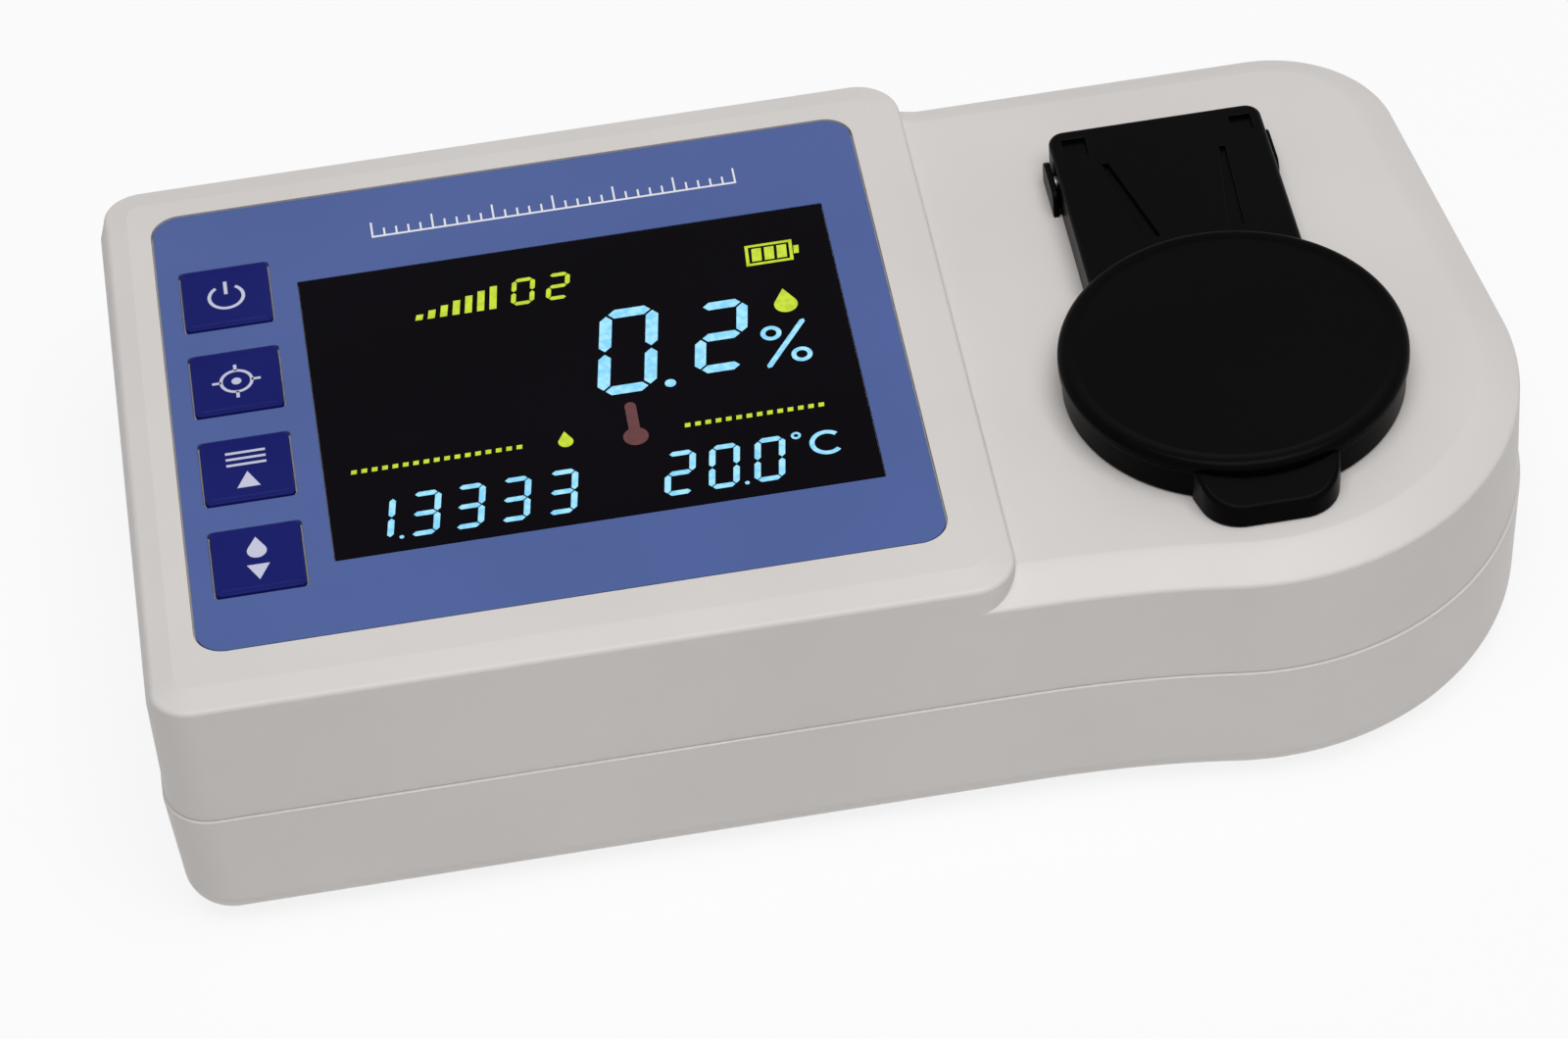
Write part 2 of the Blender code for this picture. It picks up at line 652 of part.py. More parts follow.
def rod_along_x(centre, radius, left, right, sides=SMALL_SIDES):
    """A cylinder along X, through a point given as (y, z)."""
    bm = bmesh.new()
    place = (Matrix.Translation(((left + right) / 2, centre[0], centre[1]))
             @ Matrix.Rotation(QUARTER, 4, "Y"))
    bmesh.ops.create_cone(bm, cap_ends=True, segments=sides, radius1=radius, radius2=radius,
                          depth=right - left, matrix=place)
    return bm


def rod_along_y(centre, radius, front, back, sides=SMALL_SIDES):
    """A cylinder along Y, through a point given as (x, z)."""
    bm = bmesh.new()
    place = (Matrix.Translation((centre[0], (front + back) / 2, centre[1]))
             @ Matrix.Rotation(QUARTER, 4, "X"))
    bmesh.ops.create_cone(bm, cap_ends=True, segments=sides, radius1=radius, radius2=radius,
                          depth=back - front, matrix=place)
    return bm


def turned(profile, sides, closed=False):
    """A profile of (radius, height) points, outer side running down, turned about Z."""
    mesh = bpy.data.meshes.new("profile")
    count = len(profile)
    edges = [(i, i + 1) for i in range(count - 1)]
    if closed:
        edges.append((count - 1, 0))
    mesh.from_pydata([(radius, 0.0, height) for radius, height in profile], edges, [])
    item = bpy.data.objects.new("profile", mesh)
    bpy.context.scene.collection.objects.link(item)
    screw = item.modifiers.new("turn", "SCREW")
    screw.steps = sides
    screw.render_steps = sides
    screw.use_merge_vertices = True
    screw.merge_threshold = WELD
    shaped = item.evaluated_get(bpy.context.evaluated_depsgraph_get())
    result = bpy.data.meshes.new_from_object(shaped)
    bm = bmesh.new()
    bm.from_mesh(result)
    bmesh.ops.remove_doubles(bm, verts=bm.verts, dist=WELD)
    bpy.data.objects.remove(item, do_unlink=True)
    bpy.data.meshes.remove(mesh)
    bpy.data.meshes.remove(result)
    return bm


def moved(bm, place):
    """Moves or turns a shape by a matrix or a vector."""
    matrix = place if isinstance(place, Matrix) else Matrix.Translation(Vector(place))
    bm.transform(matrix)
    return bm


def along_y(bm):
    """Turns a slab that was drawn in (x, z) so that its thickness lies along Y."""
    return moved(bm, Matrix.Rotation(QUARTER, 4, "X"))


def along_x(bm):
    """Turns a slab that was drawn in (y, z) so that its thickness lies along X."""
    turn = Matrix(((0, 0, 1, 0), (1, 0, 0, 0), (0, 1, 0, 0), (0, 0, 0, 1)))
    return moved(bm, turn)


def screws(model, name, places, head, shank_radius, shank_top):
    """Pan-head screws, heads down, all with one mesh; head is (radius, height, base)."""
    radius, height, base = head
    profile = ((0, shank_top - base), (shank_radius, shank_top - base), (shank_radius, height),
               (radius, height), (radius, 0), (0, 0))
    first = None
    for i, place in enumerate(places):
        spot = Vector((*place, base))
        if first is None:
            first = model.piece(f"{name}_1", moved(turned(profile, SCREW_SIDES), spot), "zinc", spot)
        else:
            model.copy(first, f"{name}_{i + 1}", spot)


# Places of what repeats

def case_screw_places():
    """Four posts at the display section's corners and two at the lid end."""
    near_step = STEP_X + CASE_SCREW_INSET
    reach = NOSE_RADIUS - CASE_SCREW_INSET
    return (
        (LEFT + CASE_SCREW_INSET, FRONT + CASE_SCREW_INSET),
        (LEFT + CASE_SCREW_INSET, BACK - CASE_SCREW_INSET),
        (near_step, FRONT + CASE_SCREW_INSET),
        (near_step, LID_BACK - CASE_SCREW_INSET),
        (NOSE_X + reach * math.cos(NOSE_SCREW_ANGLE), NOSE_Y + reach * math.sin(NOSE_SCREW_ANGLE)),
        (RIGHT - BACK_CORNER, LID_BACK - BACK_CORNER + CASE_SCREW_INSET / 2),
    )


def board_screw_places():
    x0, y0, x1, y1 = BOARD_BOX
    near = BOARD_SCREW_INSET
    return ((x0 + near, y0 + near), (x1 - near, y0 + near), (x1 - near, y1 - near), (x0 + near, y1 - near))


def block_screw_places():
    x = BLOCK_LENGTH / 2 - BLOCK_SCREW_INSET
    y = BLOCK_DEPTH / 2 - BLOCK_SCREW_INSET
    return tuple((LID_X + sx * x, LID_Y + sy * y) for sx in (-1, 1) for sy in (-1, 1))


def foot_places():
    right = NOSE_X + NOSE_RADIUS / 3
    front_right = NOSE_Y - NOSE_RADIUS + FOOT_INSET
    return {
        "foot_front_left": (LEFT + FOOT_INSET, FRONT + FOOT_INSET / 2),
        "foot_back_left": (LEFT + FOOT_INSET, BACK - FOOT_INSET / 2),
        "foot_front_right": (right, front_right - FOOT_INSET / 3),
        "foot_back_right": (right, LID_BACK - FOOT_INSET / 2),
    }


def key_places():
    """Middles of the four keys, from the front one to the back one."""
    x = PANEL_LEFT + KEY_FROM_LEFT + KEY_WIDTH / 2
    first = PANEL_FRONT + KEY_FROM_FRONT + KEY_DEPTH / 2
    return [(x, first + KEY_PITCH * i) for i in range(len(KEY_NAMES))]


def key_box(place):
    x, y = place
    return (x - KEY_WIDTH / 2, y - KEY_DEPTH / 2, x + KEY_WIDTH / 2, y + KEY_DEPTH / 2)


def cell_places():
    first = BAY_Y - CELL_PITCH * (CELL_COUNT - 1) / 2
    return [first + CELL_PITCH * i for i in range(CELL_COUNT)]


# Upper shell

def trough_outline():
    """Side view (y, z) of the hollow that the lid's tail swings in. Its front wall lies
    where the tail's flanges come to rest with the lid open."""
    stop = -OPEN_ANGLE
    gap = FLANGE_DROP + CLEARANCE
    away = Vector((math.cos(stop - QUARTER), math.sin(stop - QUARTER))) * gap
    down = Vector((math.cos(stop), math.sin(stop)))
    foot = away + down * math.sqrt(TROUGH_RADIUS**2 - gap**2)
    head = away - down * away.y / down.y
    last = math.atan2(foot.y, foot.x)
    points = arc((0, 0), TROUGH_RADIUS, 0, last, TROUGH_STEPS)
    points.append(tuple(head))
    return [(y + HINGE_Y, z + HINGE_Z) for y, z in points]


def ear_outline():
    """Side view (y, z) of a hinge ear: round over the pin, with its foot in the roof."""
    foot = PLATEAU - WALL / 2
    points = arc((HINGE_Y, HINGE_Z), EAR_RADIUS, 0, math.pi, SMALL_SIDES // 2)
    points.append((HINGE_Y - EAR_RADIUS, foot))
    points.append((HINGE_Y + EAR_RADIUS, foot))
    return points


def upper_shell(model):
    """Case top: walls, sloping band, raised display section, hinge hollow and posts."""
    base = SEAM + CLEARANCE / 2
    edge = DISPLAY_TOP - TOP_BAND_RISE
    raised = crown(slab([display_outline()], base, edge - TOP_ROUNDING), TOP_ROUNDING)
    raised = slope(raised, TOP_BAND_WIDTH, TOP_BAND_RISE)
    shell = model.piece("upper_shell", raised, "case", (0, 0, SEAM))
    end = slope(slab([end_outline()], base, BAND_EDGE), BAND_WIDTH, BAND_RISE)
    model.join(shell, end, "round_end")
    model.cut(shell, slab([display_outline(WALL)], base - OVERRUN, PANEL_CEILING), "display_hollow")
    end_hollow = slab([end_outline(WALL)], base - OVERRUN, BAND_EDGE - WALL)
    model.cut(shell, slope(end_hollow, BAND_WIDTH, BAND_RISE), "end_hollow")
    lap = case_outline(WALL - LIP_THICKNESS - CLEARANCE)
    model.cut(shell, slab([lap], base - OVERRUN, base + LIP_RISE + CLEARANCE), "lap")
    upper_shell_posts(model, shell)
    upper_shell_panel(model, shell)
    upper_shell_hinge(model, shell)
    well = rod((LID_X, LID_Y), WELL_BODY_RADIUS + CLEARANCE, PLATEAU_CEILING - OVERRUN,
               PLATEAU + OVERRUN, ROUND_SIDES)
    model.cut(shell, well, "well_hole")


def upper_shell_posts(model, shell):
    """Screw posts for the case, the main board and the optics block."""
    posts = []
    holes = []
    for place in case_screw_places():
        roof = PLATEAU_CEILING if place[0] > STEP_X else PANEL_CEILING
        posts.append(rod(place, CASE_BOSS_RADIUS, SEAM + CLEARANCE / 2, roof + WALL / 2))
        holes.append(rod(place, CASE_SCREW_RADIUS + CLEARANCE, SEAM - OVERRUN,
                         SEAM + CASE_SCREW_GRIP + CLEARANCE))
    for place in board_screw_places():
        posts.append(rod(place, STANDOFF_RADIUS, BOARD_TOP + CLEARANCE, PANEL_CEILING + WALL / 2))
        holes.append(rod(place, SMALL_SCREW_RADIUS + CLEARANCE, BOARD_TOP - OVERRUN,
                         BOARD_TOP + BOARD_SCREW_GRIP + CLEARANCE))
    for place in block_screw_places():
        posts.append(rod(place, STANDOFF_RADIUS, BLOCK_TOP + CLEARANCE, PLATEAU_CEILING + WALL / 2))
        holes.append(rod(place, SMALL_SCREW_RADIUS + CLEARANCE, BLOCK_TOP - OVERRUN,
                         BLOCK_TOP + BLOCK_SCREW_GRIP + CLEARANCE))
    model.join(shell, merged(posts), "posts")
    model.cut(shell, merged(holes), "post_holes")


def upper_shell_panel(model, shell):
    """Recess for the blue panel, with the display opening and the key stem holes."""
    panel = (PANEL_LEFT, PANEL_FRONT, PANEL_LEFT + PANEL_WIDTH, PANEL_FRONT + PANEL_DEPTH)
    recess = slab([rectangle(panel, PANEL_CORNER + CLEARANCE, CLEARANCE)], RECESS_FLOOR,
                  DISPLAY_TOP + OVERRUN)
    model.cut(shell, recess, "panel_recess")
    x0, y0, x1, y1 = WINDOW_BOX
    ledge = WINDOW_LEDGE
    openings = [block((x0 + ledge, y0 + ledge, PANEL_CEILING - OVERRUN),
                      (x1 - ledge, y1 - ledge, RECESS_FLOOR + RECESS_DEPTH / 2))]
    for place in key_places():
        openings.append(rod(place, KEY_STEM_RADIUS + CLEARANCE, PANEL_CEILING - OVERRUN,
                            RECESS_FLOOR + RECESS_DEPTH / 2))
    model.cut(shell, merged(openings), "panel_openings")


def upper_shell_hinge(model, shell):
    """Hinge hollow under the lid's tail, walled towards the inside, and the two ears."""
    half = TROUGH_HALF
    low = HINGE_Z - TROUGH_RADIUS - WALL
    reach = TROUGH_RADIUS + WALL
    housing = block((ARM_X - half - WALL, HINGE_Y - reach, low),
                    (ARM_X + half + WALL, HINGE_Y + reach, PLATEAU - WALL / 2))
    model.join(shell, housing, "hinge_housing")
    ears = []
    for side in (-1, 1):
        ends = sorted((ARM_X + side * EAR_INNER, ARM_X + side * EAR_OUTER))
        ears.append(along_x(slab([ear_outline()], *ends)))
    model.join(shell, merged(ears), "ears")
    trough = along_x(slab([trough_outline()], ARM_X - half, ARM_X + half))
    model.cut(shell, trough, "trough")
    bore = rod_along_x((HINGE_Y, HINGE_Z), PIN_RADIUS + CLEARANCE, ARM_X - EAR_OUTER - OVERRUN,
                       ARM_X + EAR_OUTER + OVERRUN)
    model.cut(shell, bore, "pin_bore")


# Lower shell

def lower_shell(model):
    """Case base: proud rim at the seam, rounded underside, locating lip and battery bay."""
    rim = SEAM - CLEARANCE / 2
    outer = slab([case_outline(-RIM_PROUD)], UNDERSIDE + BASE_ROUNDING, rim + LIP_RISE)
    shell = model.piece("lower_shell", crown(outer, BASE_ROUNDING, -1), "case", (0, 0, UNDERSIDE))
    inner_rounding = BASE_ROUNDING - WALL
    hollow = slab([case_outline(WALL)], UNDERSIDE + FLOOR + inner_rounding, rim + LIP_RISE + OVERRUN)
    model.cut(shell, crown(hollow, inner_rounding, -1, 2), "hollow")
    lap = [case_outline(-RIM_PROUD - OVERRUN), case_outline(WALL - LIP_THICKNESS)]
    model.cut(shell, slab(lap, rim, rim + LIP_RISE + OVERRUN), "lap")
    lower_shell_bay(model, shell)
    lower_shell_posts(model, shell)
    feet = [rod(place, FOOT_RADIUS + CLEARANCE, UNDERSIDE - OVERRUN, UNDERSIDE + FOOT_RECESS, ROUND_SIDES)
            for place in foot_places().values()]
    model.cut(shell, merged(feet), "foot_recesses")


def lower_shell_posts(model, shell):
    """Posts for the case screws, with their heads sunk in the underside."""
    posts = []
    holes = []
    heads = []
    seat = UNDERSIDE + CASE_HEAD_DEPTH
    for place in case_screw_places():
        posts.append(rod(place, CASE_BOSS_RADIUS, UNDERSIDE + FLOOR / 2, SEAM - CLEARANCE / 2))
        holes.append(rod(place, CASE_SCREW_RADIUS + CLEARANCE, UNDERSIDE - OVERRUN, SEAM + OVERRUN))
        heads.append(rod(place, CASE_HEAD_RADIUS + CLEARANCE, UNDERSIDE - OVERRUN, seat))
    model.join(shell, merged(posts), "posts")
    model.cut(shell, merged(holes), "screw_holes")
    model.cut(shell, merged(heads), "head_holes")


def lower_shell_bay(model, shell):
    """Battery bay open downwards, its door recess, the door's pin holes and a finger notch."""
    half = Vector((BAY_LENGTH / 2, BAY_DEPTH / 2))
    walls = block((BAY_X - half.x - BAY_WALL - DOOR_LEDGE, BAY_Y - half.y - BAY_WALL - DOOR_LEDGE,
                   UNDERSIDE + FLOOR / 2),
                  (BAY_X + half.x + BAY_WALL + DOOR_LEDGE, BAY_Y + half.y + BAY_WALL + DOOR_LEDGE,
                   BAY_CEILING + BAY_WALL))
    model.join(shell, walls, "bay_walls")
    bay = block((BAY_X - half.x, BAY_Y - half.y, UNDERSIDE), (BAY_X + half.x, BAY_Y + half.y, BAY_CEILING))
    model.cut(shell, bay, "bay")
    door = block((DOOR_LEFT - CLEARANCE, BAY_Y - DOOR_DEPTH / 2 - CLEARANCE, UNDERSIDE - OVERRUN),
                 (DOOR_LEFT + DOOR_LENGTH + CLEARANCE, BAY_Y + DOOR_DEPTH / 2 + CLEARANCE, BAY_FLOOR))
    model.cut(shell, door, "door_recess")
    reach = DOOR_DEPTH / 2 + DOOR_PIN_LENGTH + 2 * CLEARANCE
    pins = rod_along_y((DOOR_HINGE.x, DOOR_HINGE.z), DOOR_PIN_RADIUS + CLEARANCE / 2,
                       BAY_Y - reach, BAY_Y + reach, SMALL_SIDES // 2)
    model.cut(shell, pins, "door_pin_holes")
    edge = DOOR_LEFT + DOOR_LENGTH
    notch = rod((edge + NOTCH_REACH - NOTCH_RADIUS, BAY_Y), NOTCH_RADIUS, UNDERSIDE - OVERRUN,
                UNDERSIDE + NOTCH_DEPTH)
    model.cut(shell, notch, "finger_notch")


# Blue panel, keys and display

def panel_film(model):
    """Blue panel with a display opening and four key openings."""
    box = (PANEL_LEFT, PANEL_FRONT, PANEL_LEFT + PANEL_WIDTH, PANEL_FRONT + PANEL_DEPTH)
    rings = [rectangle(box, PANEL_CORNER), rectangle(WINDOW_BOX, 0.0, CLEARANCE)]
    for place in key_places():
        rings.append(rectangle(key_box(place), KEY_CORNER + CLEARANCE, CLEARANCE))
    bottom = RECESS_FLOOR + CLEARANCE
    film = slab(rings, bottom, PANEL_TOP)
    model.piece("keypad_panel", film, "blue", (PANEL_LEFT, PANEL_FRONT, bottom))


def keys(model):
    """Square key caps, each with a stem that reaches down to its switch."""
    cap_bottom = PANEL_TOP + KEY_PROUD - KEY_THICKNESS
    stem_end = PLUNGER_TOP + KEY_TRAVEL + CLEARANCE
    for name, place in zip(KEY_NAMES, key_places()):
        cap = slab([rectangle(key_box(place), KEY_CORNER)], cap_bottom, PANEL_TOP + KEY_PROUD)
        key = model.piece(name, cap, "navy", (*place, cap_bottom))
        stem = rod(place, KEY_STEM_RADIUS, stem_end, cap_bottom + KEY_THICKNESS / 2)
        model.join(key, stem, "stem")


def display_window(model):
    x0, y0, x1, y1 = WINDOW_BOX
    pane = block((x0, y0, RECESS_FLOOR + CLEARANCE), (x1, y1, PANEL_TOP))
    model.piece("display_window", pane, "window", (x0, y0, RECESS_FLOOR + CLEARANCE))


def display_module(model):
    """Liquid crystal panel under the window, and its backlight below."""
    x0, y0, x1, y1 = WINDOW_BOX
    glass = block((x0 - LCD_MARGIN, y0 - LCD_MARGIN, LCD_TOP - LCD_THICKNESS),
                  (x1 + LCD_MARGIN, y1 + LCD_MARGIN, LCD_TOP))
    model.piece("lcd_panel", glass, "lcd", (x0, y0, LCD_TOP))
    light = block((x0 - BACKLIGHT_MARGIN, y0 - BACKLIGHT_MARGIN, BACKLIGHT_TOP - BACKLIGHT_THICKNESS),
                  (x1 + BACKLIGHT_MARGIN, y1 + BACKLIGHT_MARGIN, BACKLIGHT_TOP))
    model.piece("lcd_backlight", light, "white", (x0, y0, BACKLIGHT_TOP))


def main_board(model):
    """Circuit board with its screw holes, the key switches and the controller chip."""
    x0, y0, x1, y1 = BOARD_BOX
    holes = [arc(place, SMALL_SCREW_RADIUS + CLEARANCE, 0, math.tau * (1 - 1 / SMALL_SIDES), SMALL_SIDES - 1)
             for place in board_screw_places()]
    board = slab([rectangle(BOARD_BOX)] + holes, BOARD_UNDER, BOARD_TOP)
    model.piece("main_board", board, "board", (x0, y0, BOARD_UNDER))
    head = (SMALL_HEAD_RADIUS, SMALL_HEAD_HEIGHT, BOARD_UNDER - CLEARANCE - SMALL_HEAD_HEIGHT)
    screws(model, "board_screw", board_screw_places(), head, SMALL_SCREW_RADIUS,
           BOARD_TOP + BOARD_SCREW_GRIP)
    middle = ((x0 + x1) / 2, (y0 + y1) / 2)
    half = CHIP_SIZE / 2
    top = BOARD_UNDER - CLEARANCE
    chip = block((middle[0] - half, middle[1] - half, top - CHIP_THICKNESS),
                 (middle[0] + half, middle[1] + half, top))
    model.piece("controller_chip", chip, "chip", (*middle, top))


def key_switches(model):
    """A push switch on the board under each key."""
    half = SWITCH_SIZE / 2
    base = BOARD_TOP + CLEARANCE
    for name, (x, y) in zip(KEY_NAMES, key_places()):
        body = block((x - half, y - half, base), (x + half, y + half, SWITCH_TOP))
        switch = model.piece(name.replace("key", "switch"), body, "chip", (x, y, base))
        plunger = rod((x, y), PLUNGER_RADIUS, SWITCH_TOP - SWITCH_HEIGHT / 2, PLUNGER_TOP)
        model.join(switch, plunger, "plunger")


# Lid and hinge

def lid_disc():
    """The round cap, solid, with a thick rounded rim over a slightly smaller side band."""
    rim = LID_RADIUS
    band = LID_RADIUS - LID_RIM_OVERHANG
    profile = [(0, LID_TOP)]
    profile += [(x, z) for x, z in arc((rim - LID_EDGE, LID_TOP - LID_EDGE), LID_EDGE, QUARTER, 0,
                                       ROUNDING_STEPS)]
    profile += [(rim, LID_TOP - LID_RIM_HEIGHT), (band, LID_TOP - LID_RIM_HEIGHT - LID_RIM_OVERHANG)]
    profile += [(band, LID_BASE), (0, LID_BASE)]
    return moved(turned(profile, LID_SIDES), (LID_X, LID_Y, 0))


def lid_plate():
    """The arm from the cap to the hinge, solid, with a rounded tail end."""
    half = PLATE_WIDTH / 2
    start = LID_Y + LID_BORE / 2
    corners = ((ARM_X - half, start), (ARM_X + half, start),
               (ARM_X + half, TAIL_END), (ARM_X - half, TAIL_END))
    outline = rounded(corners, (0, 0, PLATE_CORNER, PLATE_CORNER), ROUNDING_STEPS)
    return crown(slab([outline], LID_BASE, PLATE_TOP - PLATE_EDGE), PLATE_EDGE, 1, PLATE_EDGE_STEPS)


def lid_tab():
    """The finger tab, its top sloping down to the lip."""
    root = TAB_ROOT_WIDTH / 2
    tip = TAB_TIP_WIDTH / 2
    root_y = LID_Y - math.sqrt(LID_RADIUS**2 - root**2)
    tip_y = LID_Y - LID_RADIUS - TAB_REACH
    inner_y = LID_Y - LID_BORE
    corners = ((LID_X - root, inner_y), (LID_X - root, root_y), (LID_X - tip, tip_y),
               (LID_X + tip, tip_y), (LID_X + root, root_y), (LID_X + root, inner_y))
    outline = rounded(corners, (0, 0, TAB_CORNER, TAB_CORNER, 0, 0), ROUNDING_STEPS)
    rim_z = LID_TOP - LID_RIM_HEIGHT / 2
    lip_z = LID_BASE + TAB_LIP_HEIGHT
    tab = slab([outline], LID_BASE, rim_z)
    fall = (rim_z - lip_z) / TAB_REACH
    for vert in tab.verts:
        if vert.co.z > LID_BASE + TAB_LIP_HEIGHT / 2:
            drop = max(0.0, (LID_Y - LID_RADIUS) - vert.co.y) * fall
            vert.co.z = rim_z - drop
    return tab


def lid_hollows():
    """The space under the cap and the channel under the arm."""
    half = PLATE_WIDTH / 2 - LID_WALL
    cap = rod((LID_X, LID_Y), LID_BORE, LID_BASE - OVERRUN, LID_CEILING, LID_SIDES)
    start = LID_Y + LID_BORE + LID_WALL
    arm = block((ARM_X - half, start, LID_BASE - OVERRUN),
                (ARM_X + half, TAIL_END - LID_WALL, PLATE_TOP - LID_SHEET))
    return cap, arm


def groove(side):
    """A tapered groove in the arm's top, wider towards the cap."""
    back_y = HINGE_Y - GROOVE_BACK_WIDTH
    front_y = back_y - GROOVE_LENGTH
    back_x = ARM_X + side * GROOVE_BACK_SPREAD
    front_x = ARM_X + side * GROOVE_FRONT_SPREAD
    outline = [(front_x - GROOVE_FRONT_WIDTH / 2, front_y), (front_x + GROOVE_FRONT_WIDTH / 2, front_y),
               (back_x + GROOVE_BACK_WIDTH / 2, back_y), (back_x - GROOVE_BACK_WIDTH / 2, back_y)]
    return slab([outline], PLATE_TOP - GROOVE_DEPTH, PLATE_TOP + OVERRUN)


def corner_pocket(side):
    """A small rectangular pocket near one back corner of the arm."""
    outer = ARM_X + side * (PLATE_WIDTH / 2 - POCKET_FROM_SIDE)
    inner = outer - side * POCKET_WIDTH
    back_y = TAIL_END - POCKET_FROM_BACK
    return block((min(outer, inner), back_y - POCKET_LENGTH, PLATE_TOP - GROOVE_DEPTH),
                 (max(outer, inner), back_y, PLATE_TOP + OVERRUN))


def lid(model):
    """Black lid: round cap, finger tab and hinge arm in one moulding."""
    cover = model.piece("lid", lid_disc(), "black", HINGE, model.lid_axis)
    model.join(cover, lid_plate(), "arm")
    model.join(cover, lid_tab(), "tab")
    cap, arm = lid_hollows()
    model.cut(cover, cap, "cap_hollow")
    model.cut(cover, arm, "arm_channel")
    details = [groove(-1), groove(1), corner_pocket(-1), corner_pocket(1)]
    model.cut(cover, merged(details), "top_details")
    bore = rod_along_x((HINGE_Y, HINGE_Z), PIN_RADIUS + CLEARANCE, ARM_X - PLATE_WIDTH, ARM_X + PLATE_WIDTH)
    model.cut(cover, bore, "pin_bore")


def lid_seal(model):
    """Rubber ring under the cap that closes on the well's flange."""
    top = LID_CEILING - CLEARANCE
    bottom = WELL_TOP + CLEARANCE
    profile = ((SEAL_OUTER, top), (SEAL_OUTER, bottom), (SEAL_INNER, bottom), (SEAL_INNER, top))
    ring = moved(turned(profile, ROUND_SIDES, closed=True), (LID_X, LID_Y, 0))
    model.piece("lid_seal", ring, "rubber", HINGE, model.lid_axis)


def hinge_pin(model):
    reach = EAR_OUTER - CLEARANCE
    pin = rod_along_x((HINGE_Y, HINGE_Z), PIN_RADIUS, ARM_X - reach, ARM_X + reach)
    model.piece("hinge_pin", pin, "steel", HINGE)


# Sample well and optics

def sample_well(model):
    """Steel dish with a flange on the case and a hole for the prism."""
    profile = ((WELL_FLANGE_RADIUS, WELL_TOP), (WELL_FLANGE_RADIUS, WELL_SEAT), (WELL_BODY_RADIUS, WELL_SEAT),
               (WELL_BODY_RADIUS, WELL_UNDER), (PRISM_HOLE, WELL_UNDER), (PRISM_HOLE, WELL_FLOOR),
               (WELL_FLOOR_RADIUS, WELL_FLOOR), (WELL_BOWL_RADIUS, WELL_TOP))
    dish = moved(turned(profile, ROUND_SIDES, closed=True), (LID_X, LID_Y, 0))
    model.piece("sample_well", dish, "steel", (LID_X, LID_Y, WELL_SEAT))
    inner = WELL_BODY_RADIUS + GASKET_MARGIN
    outer = WELL_FLANGE_RADIUS - GASKET_MARGIN
    bottom = PLATEAU + CLEARANCE
    top = bottom + GASKET_THICKNESS
    ring = turned(((outer, top), (outer, bottom), (inner, bottom), (inner, top)), ROUND_SIDES, closed=True)
    model.piece("well_gasket", moved(ring, (LID_X, LID_Y, 0)), "rubber", (LID_X, LID_Y, bottom))


def prism_outline(grow):
    """Side view (x, z) of the prism's body under the well."""
    top = PRISM_TOP_WIDTH / 2 + grow
    base = PRISM_BASE_WIDTH / 2 + grow
    low = PRISM_SHOULDER - PRISM_BODY_HEIGHT - grow
    high = PRISM_SHOULDER
    return [(LID_X - base, low), (LID_X + base, low), (LID_X + top, high), (LID_X - top, high)]


def prism_body(grow):
    half = PRISM_DEPTH / 2 + grow
    return along_y(slab([prism_outline(grow)], -LID_Y - half, -LID_Y + half))


def measuring_prism(model):
    """Glass prism: a round top face in the well and a tapering body below."""
    face = rod((LID_X, LID_Y), PRISM_RADIUS, PRISM_SHOULDER - PRISM_BODY_HEIGHT / 4, WELL_FLOOR, ROUND_SIDES)
    prism = model.piece("measuring_prism", face, "glass", (LID_X, LID_Y, WELL_FLOOR))
    model.join(prism, prism_body(0.0), "body")


def optics_block(model):
    """Aluminium block that holds the prism, with a lamp bore and a lens bore."""
    low = (BLOCK_LEFT, LID_Y - BLOCK_DEPTH / 2, BLOCK_UNDER)
    high = (BLOCK_RIGHT, LID_Y + BLOCK_DEPTH / 2, BLOCK_TOP)
    item = model.piece("optics_block", block(low, high), "alloy", (LID_X, LID_Y, BLOCK_TOP))
    model.cut(item, prism_body(CLEARANCE), "prism_seat")
    mouth = block((LID_X - PRISM_TOP_WIDTH / 2 - CLEARANCE, LID_Y - PRISM_DEPTH / 2 - CLEARANCE,
                   BLOCK_TOP - CLEARANCE),
                  (LID_X + PRISM_TOP_WIDTH / 2 + CLEARANCE, LID_Y + PRISM_DEPTH / 2 + CLEARANCE,
                   BLOCK_TOP + OVERRUN))
    model.cut(item, mouth, "prism_mouth")
    axis = (LID_Y, LIGHT_AXIS)
    lamp_bore = rod_along_x(axis, LAMP_FLANGE_RADIUS + CLEARANCE, BLOCK_LEFT - OVERRUN, LID_X)
    model.cut(item, lamp_bore, "lamp_bore")
    lens_bore = rod_along_x(axis, BARREL_RADIUS + CLEARANCE, LID_X, BLOCK_RIGHT + OVERRUN, ROUND_SIDES)
    model.cut(item, lens_bore, "lens_bore")
    holes = [rod(place, SMALL_SCREW_RADIUS + CLEARANCE, BLOCK_UNDER - OVERRUN, BLOCK_TOP + OVERRUN)
             for place in block_screw_places()]
    holes.append(rod(probe_place(), PROBE_RADIUS + CLEARANCE, BLOCK_TOP - PROBE_LENGTH, BLOCK_TOP + OVERRUN))
    model.cut(item, merged(holes), "upright_holes")
    head = (SMALL_HEAD_RADIUS, SMALL_HEAD_HEIGHT, BLOCK_UNDER - CLEARANCE - SMALL_HEAD_HEIGHT)
    screws(model, "optics_screw", block_screw_places(), head, SMALL_SCREW_RADIUS,
           BLOCK_TOP + BLOCK_SCREW_GRIP)


def probe_place():
    """Middle of the temperature sensor, beside the prism."""
    return (LID_X, LID_Y + PRISM_DEPTH / 2 + PROBE_FROM_PRISM)


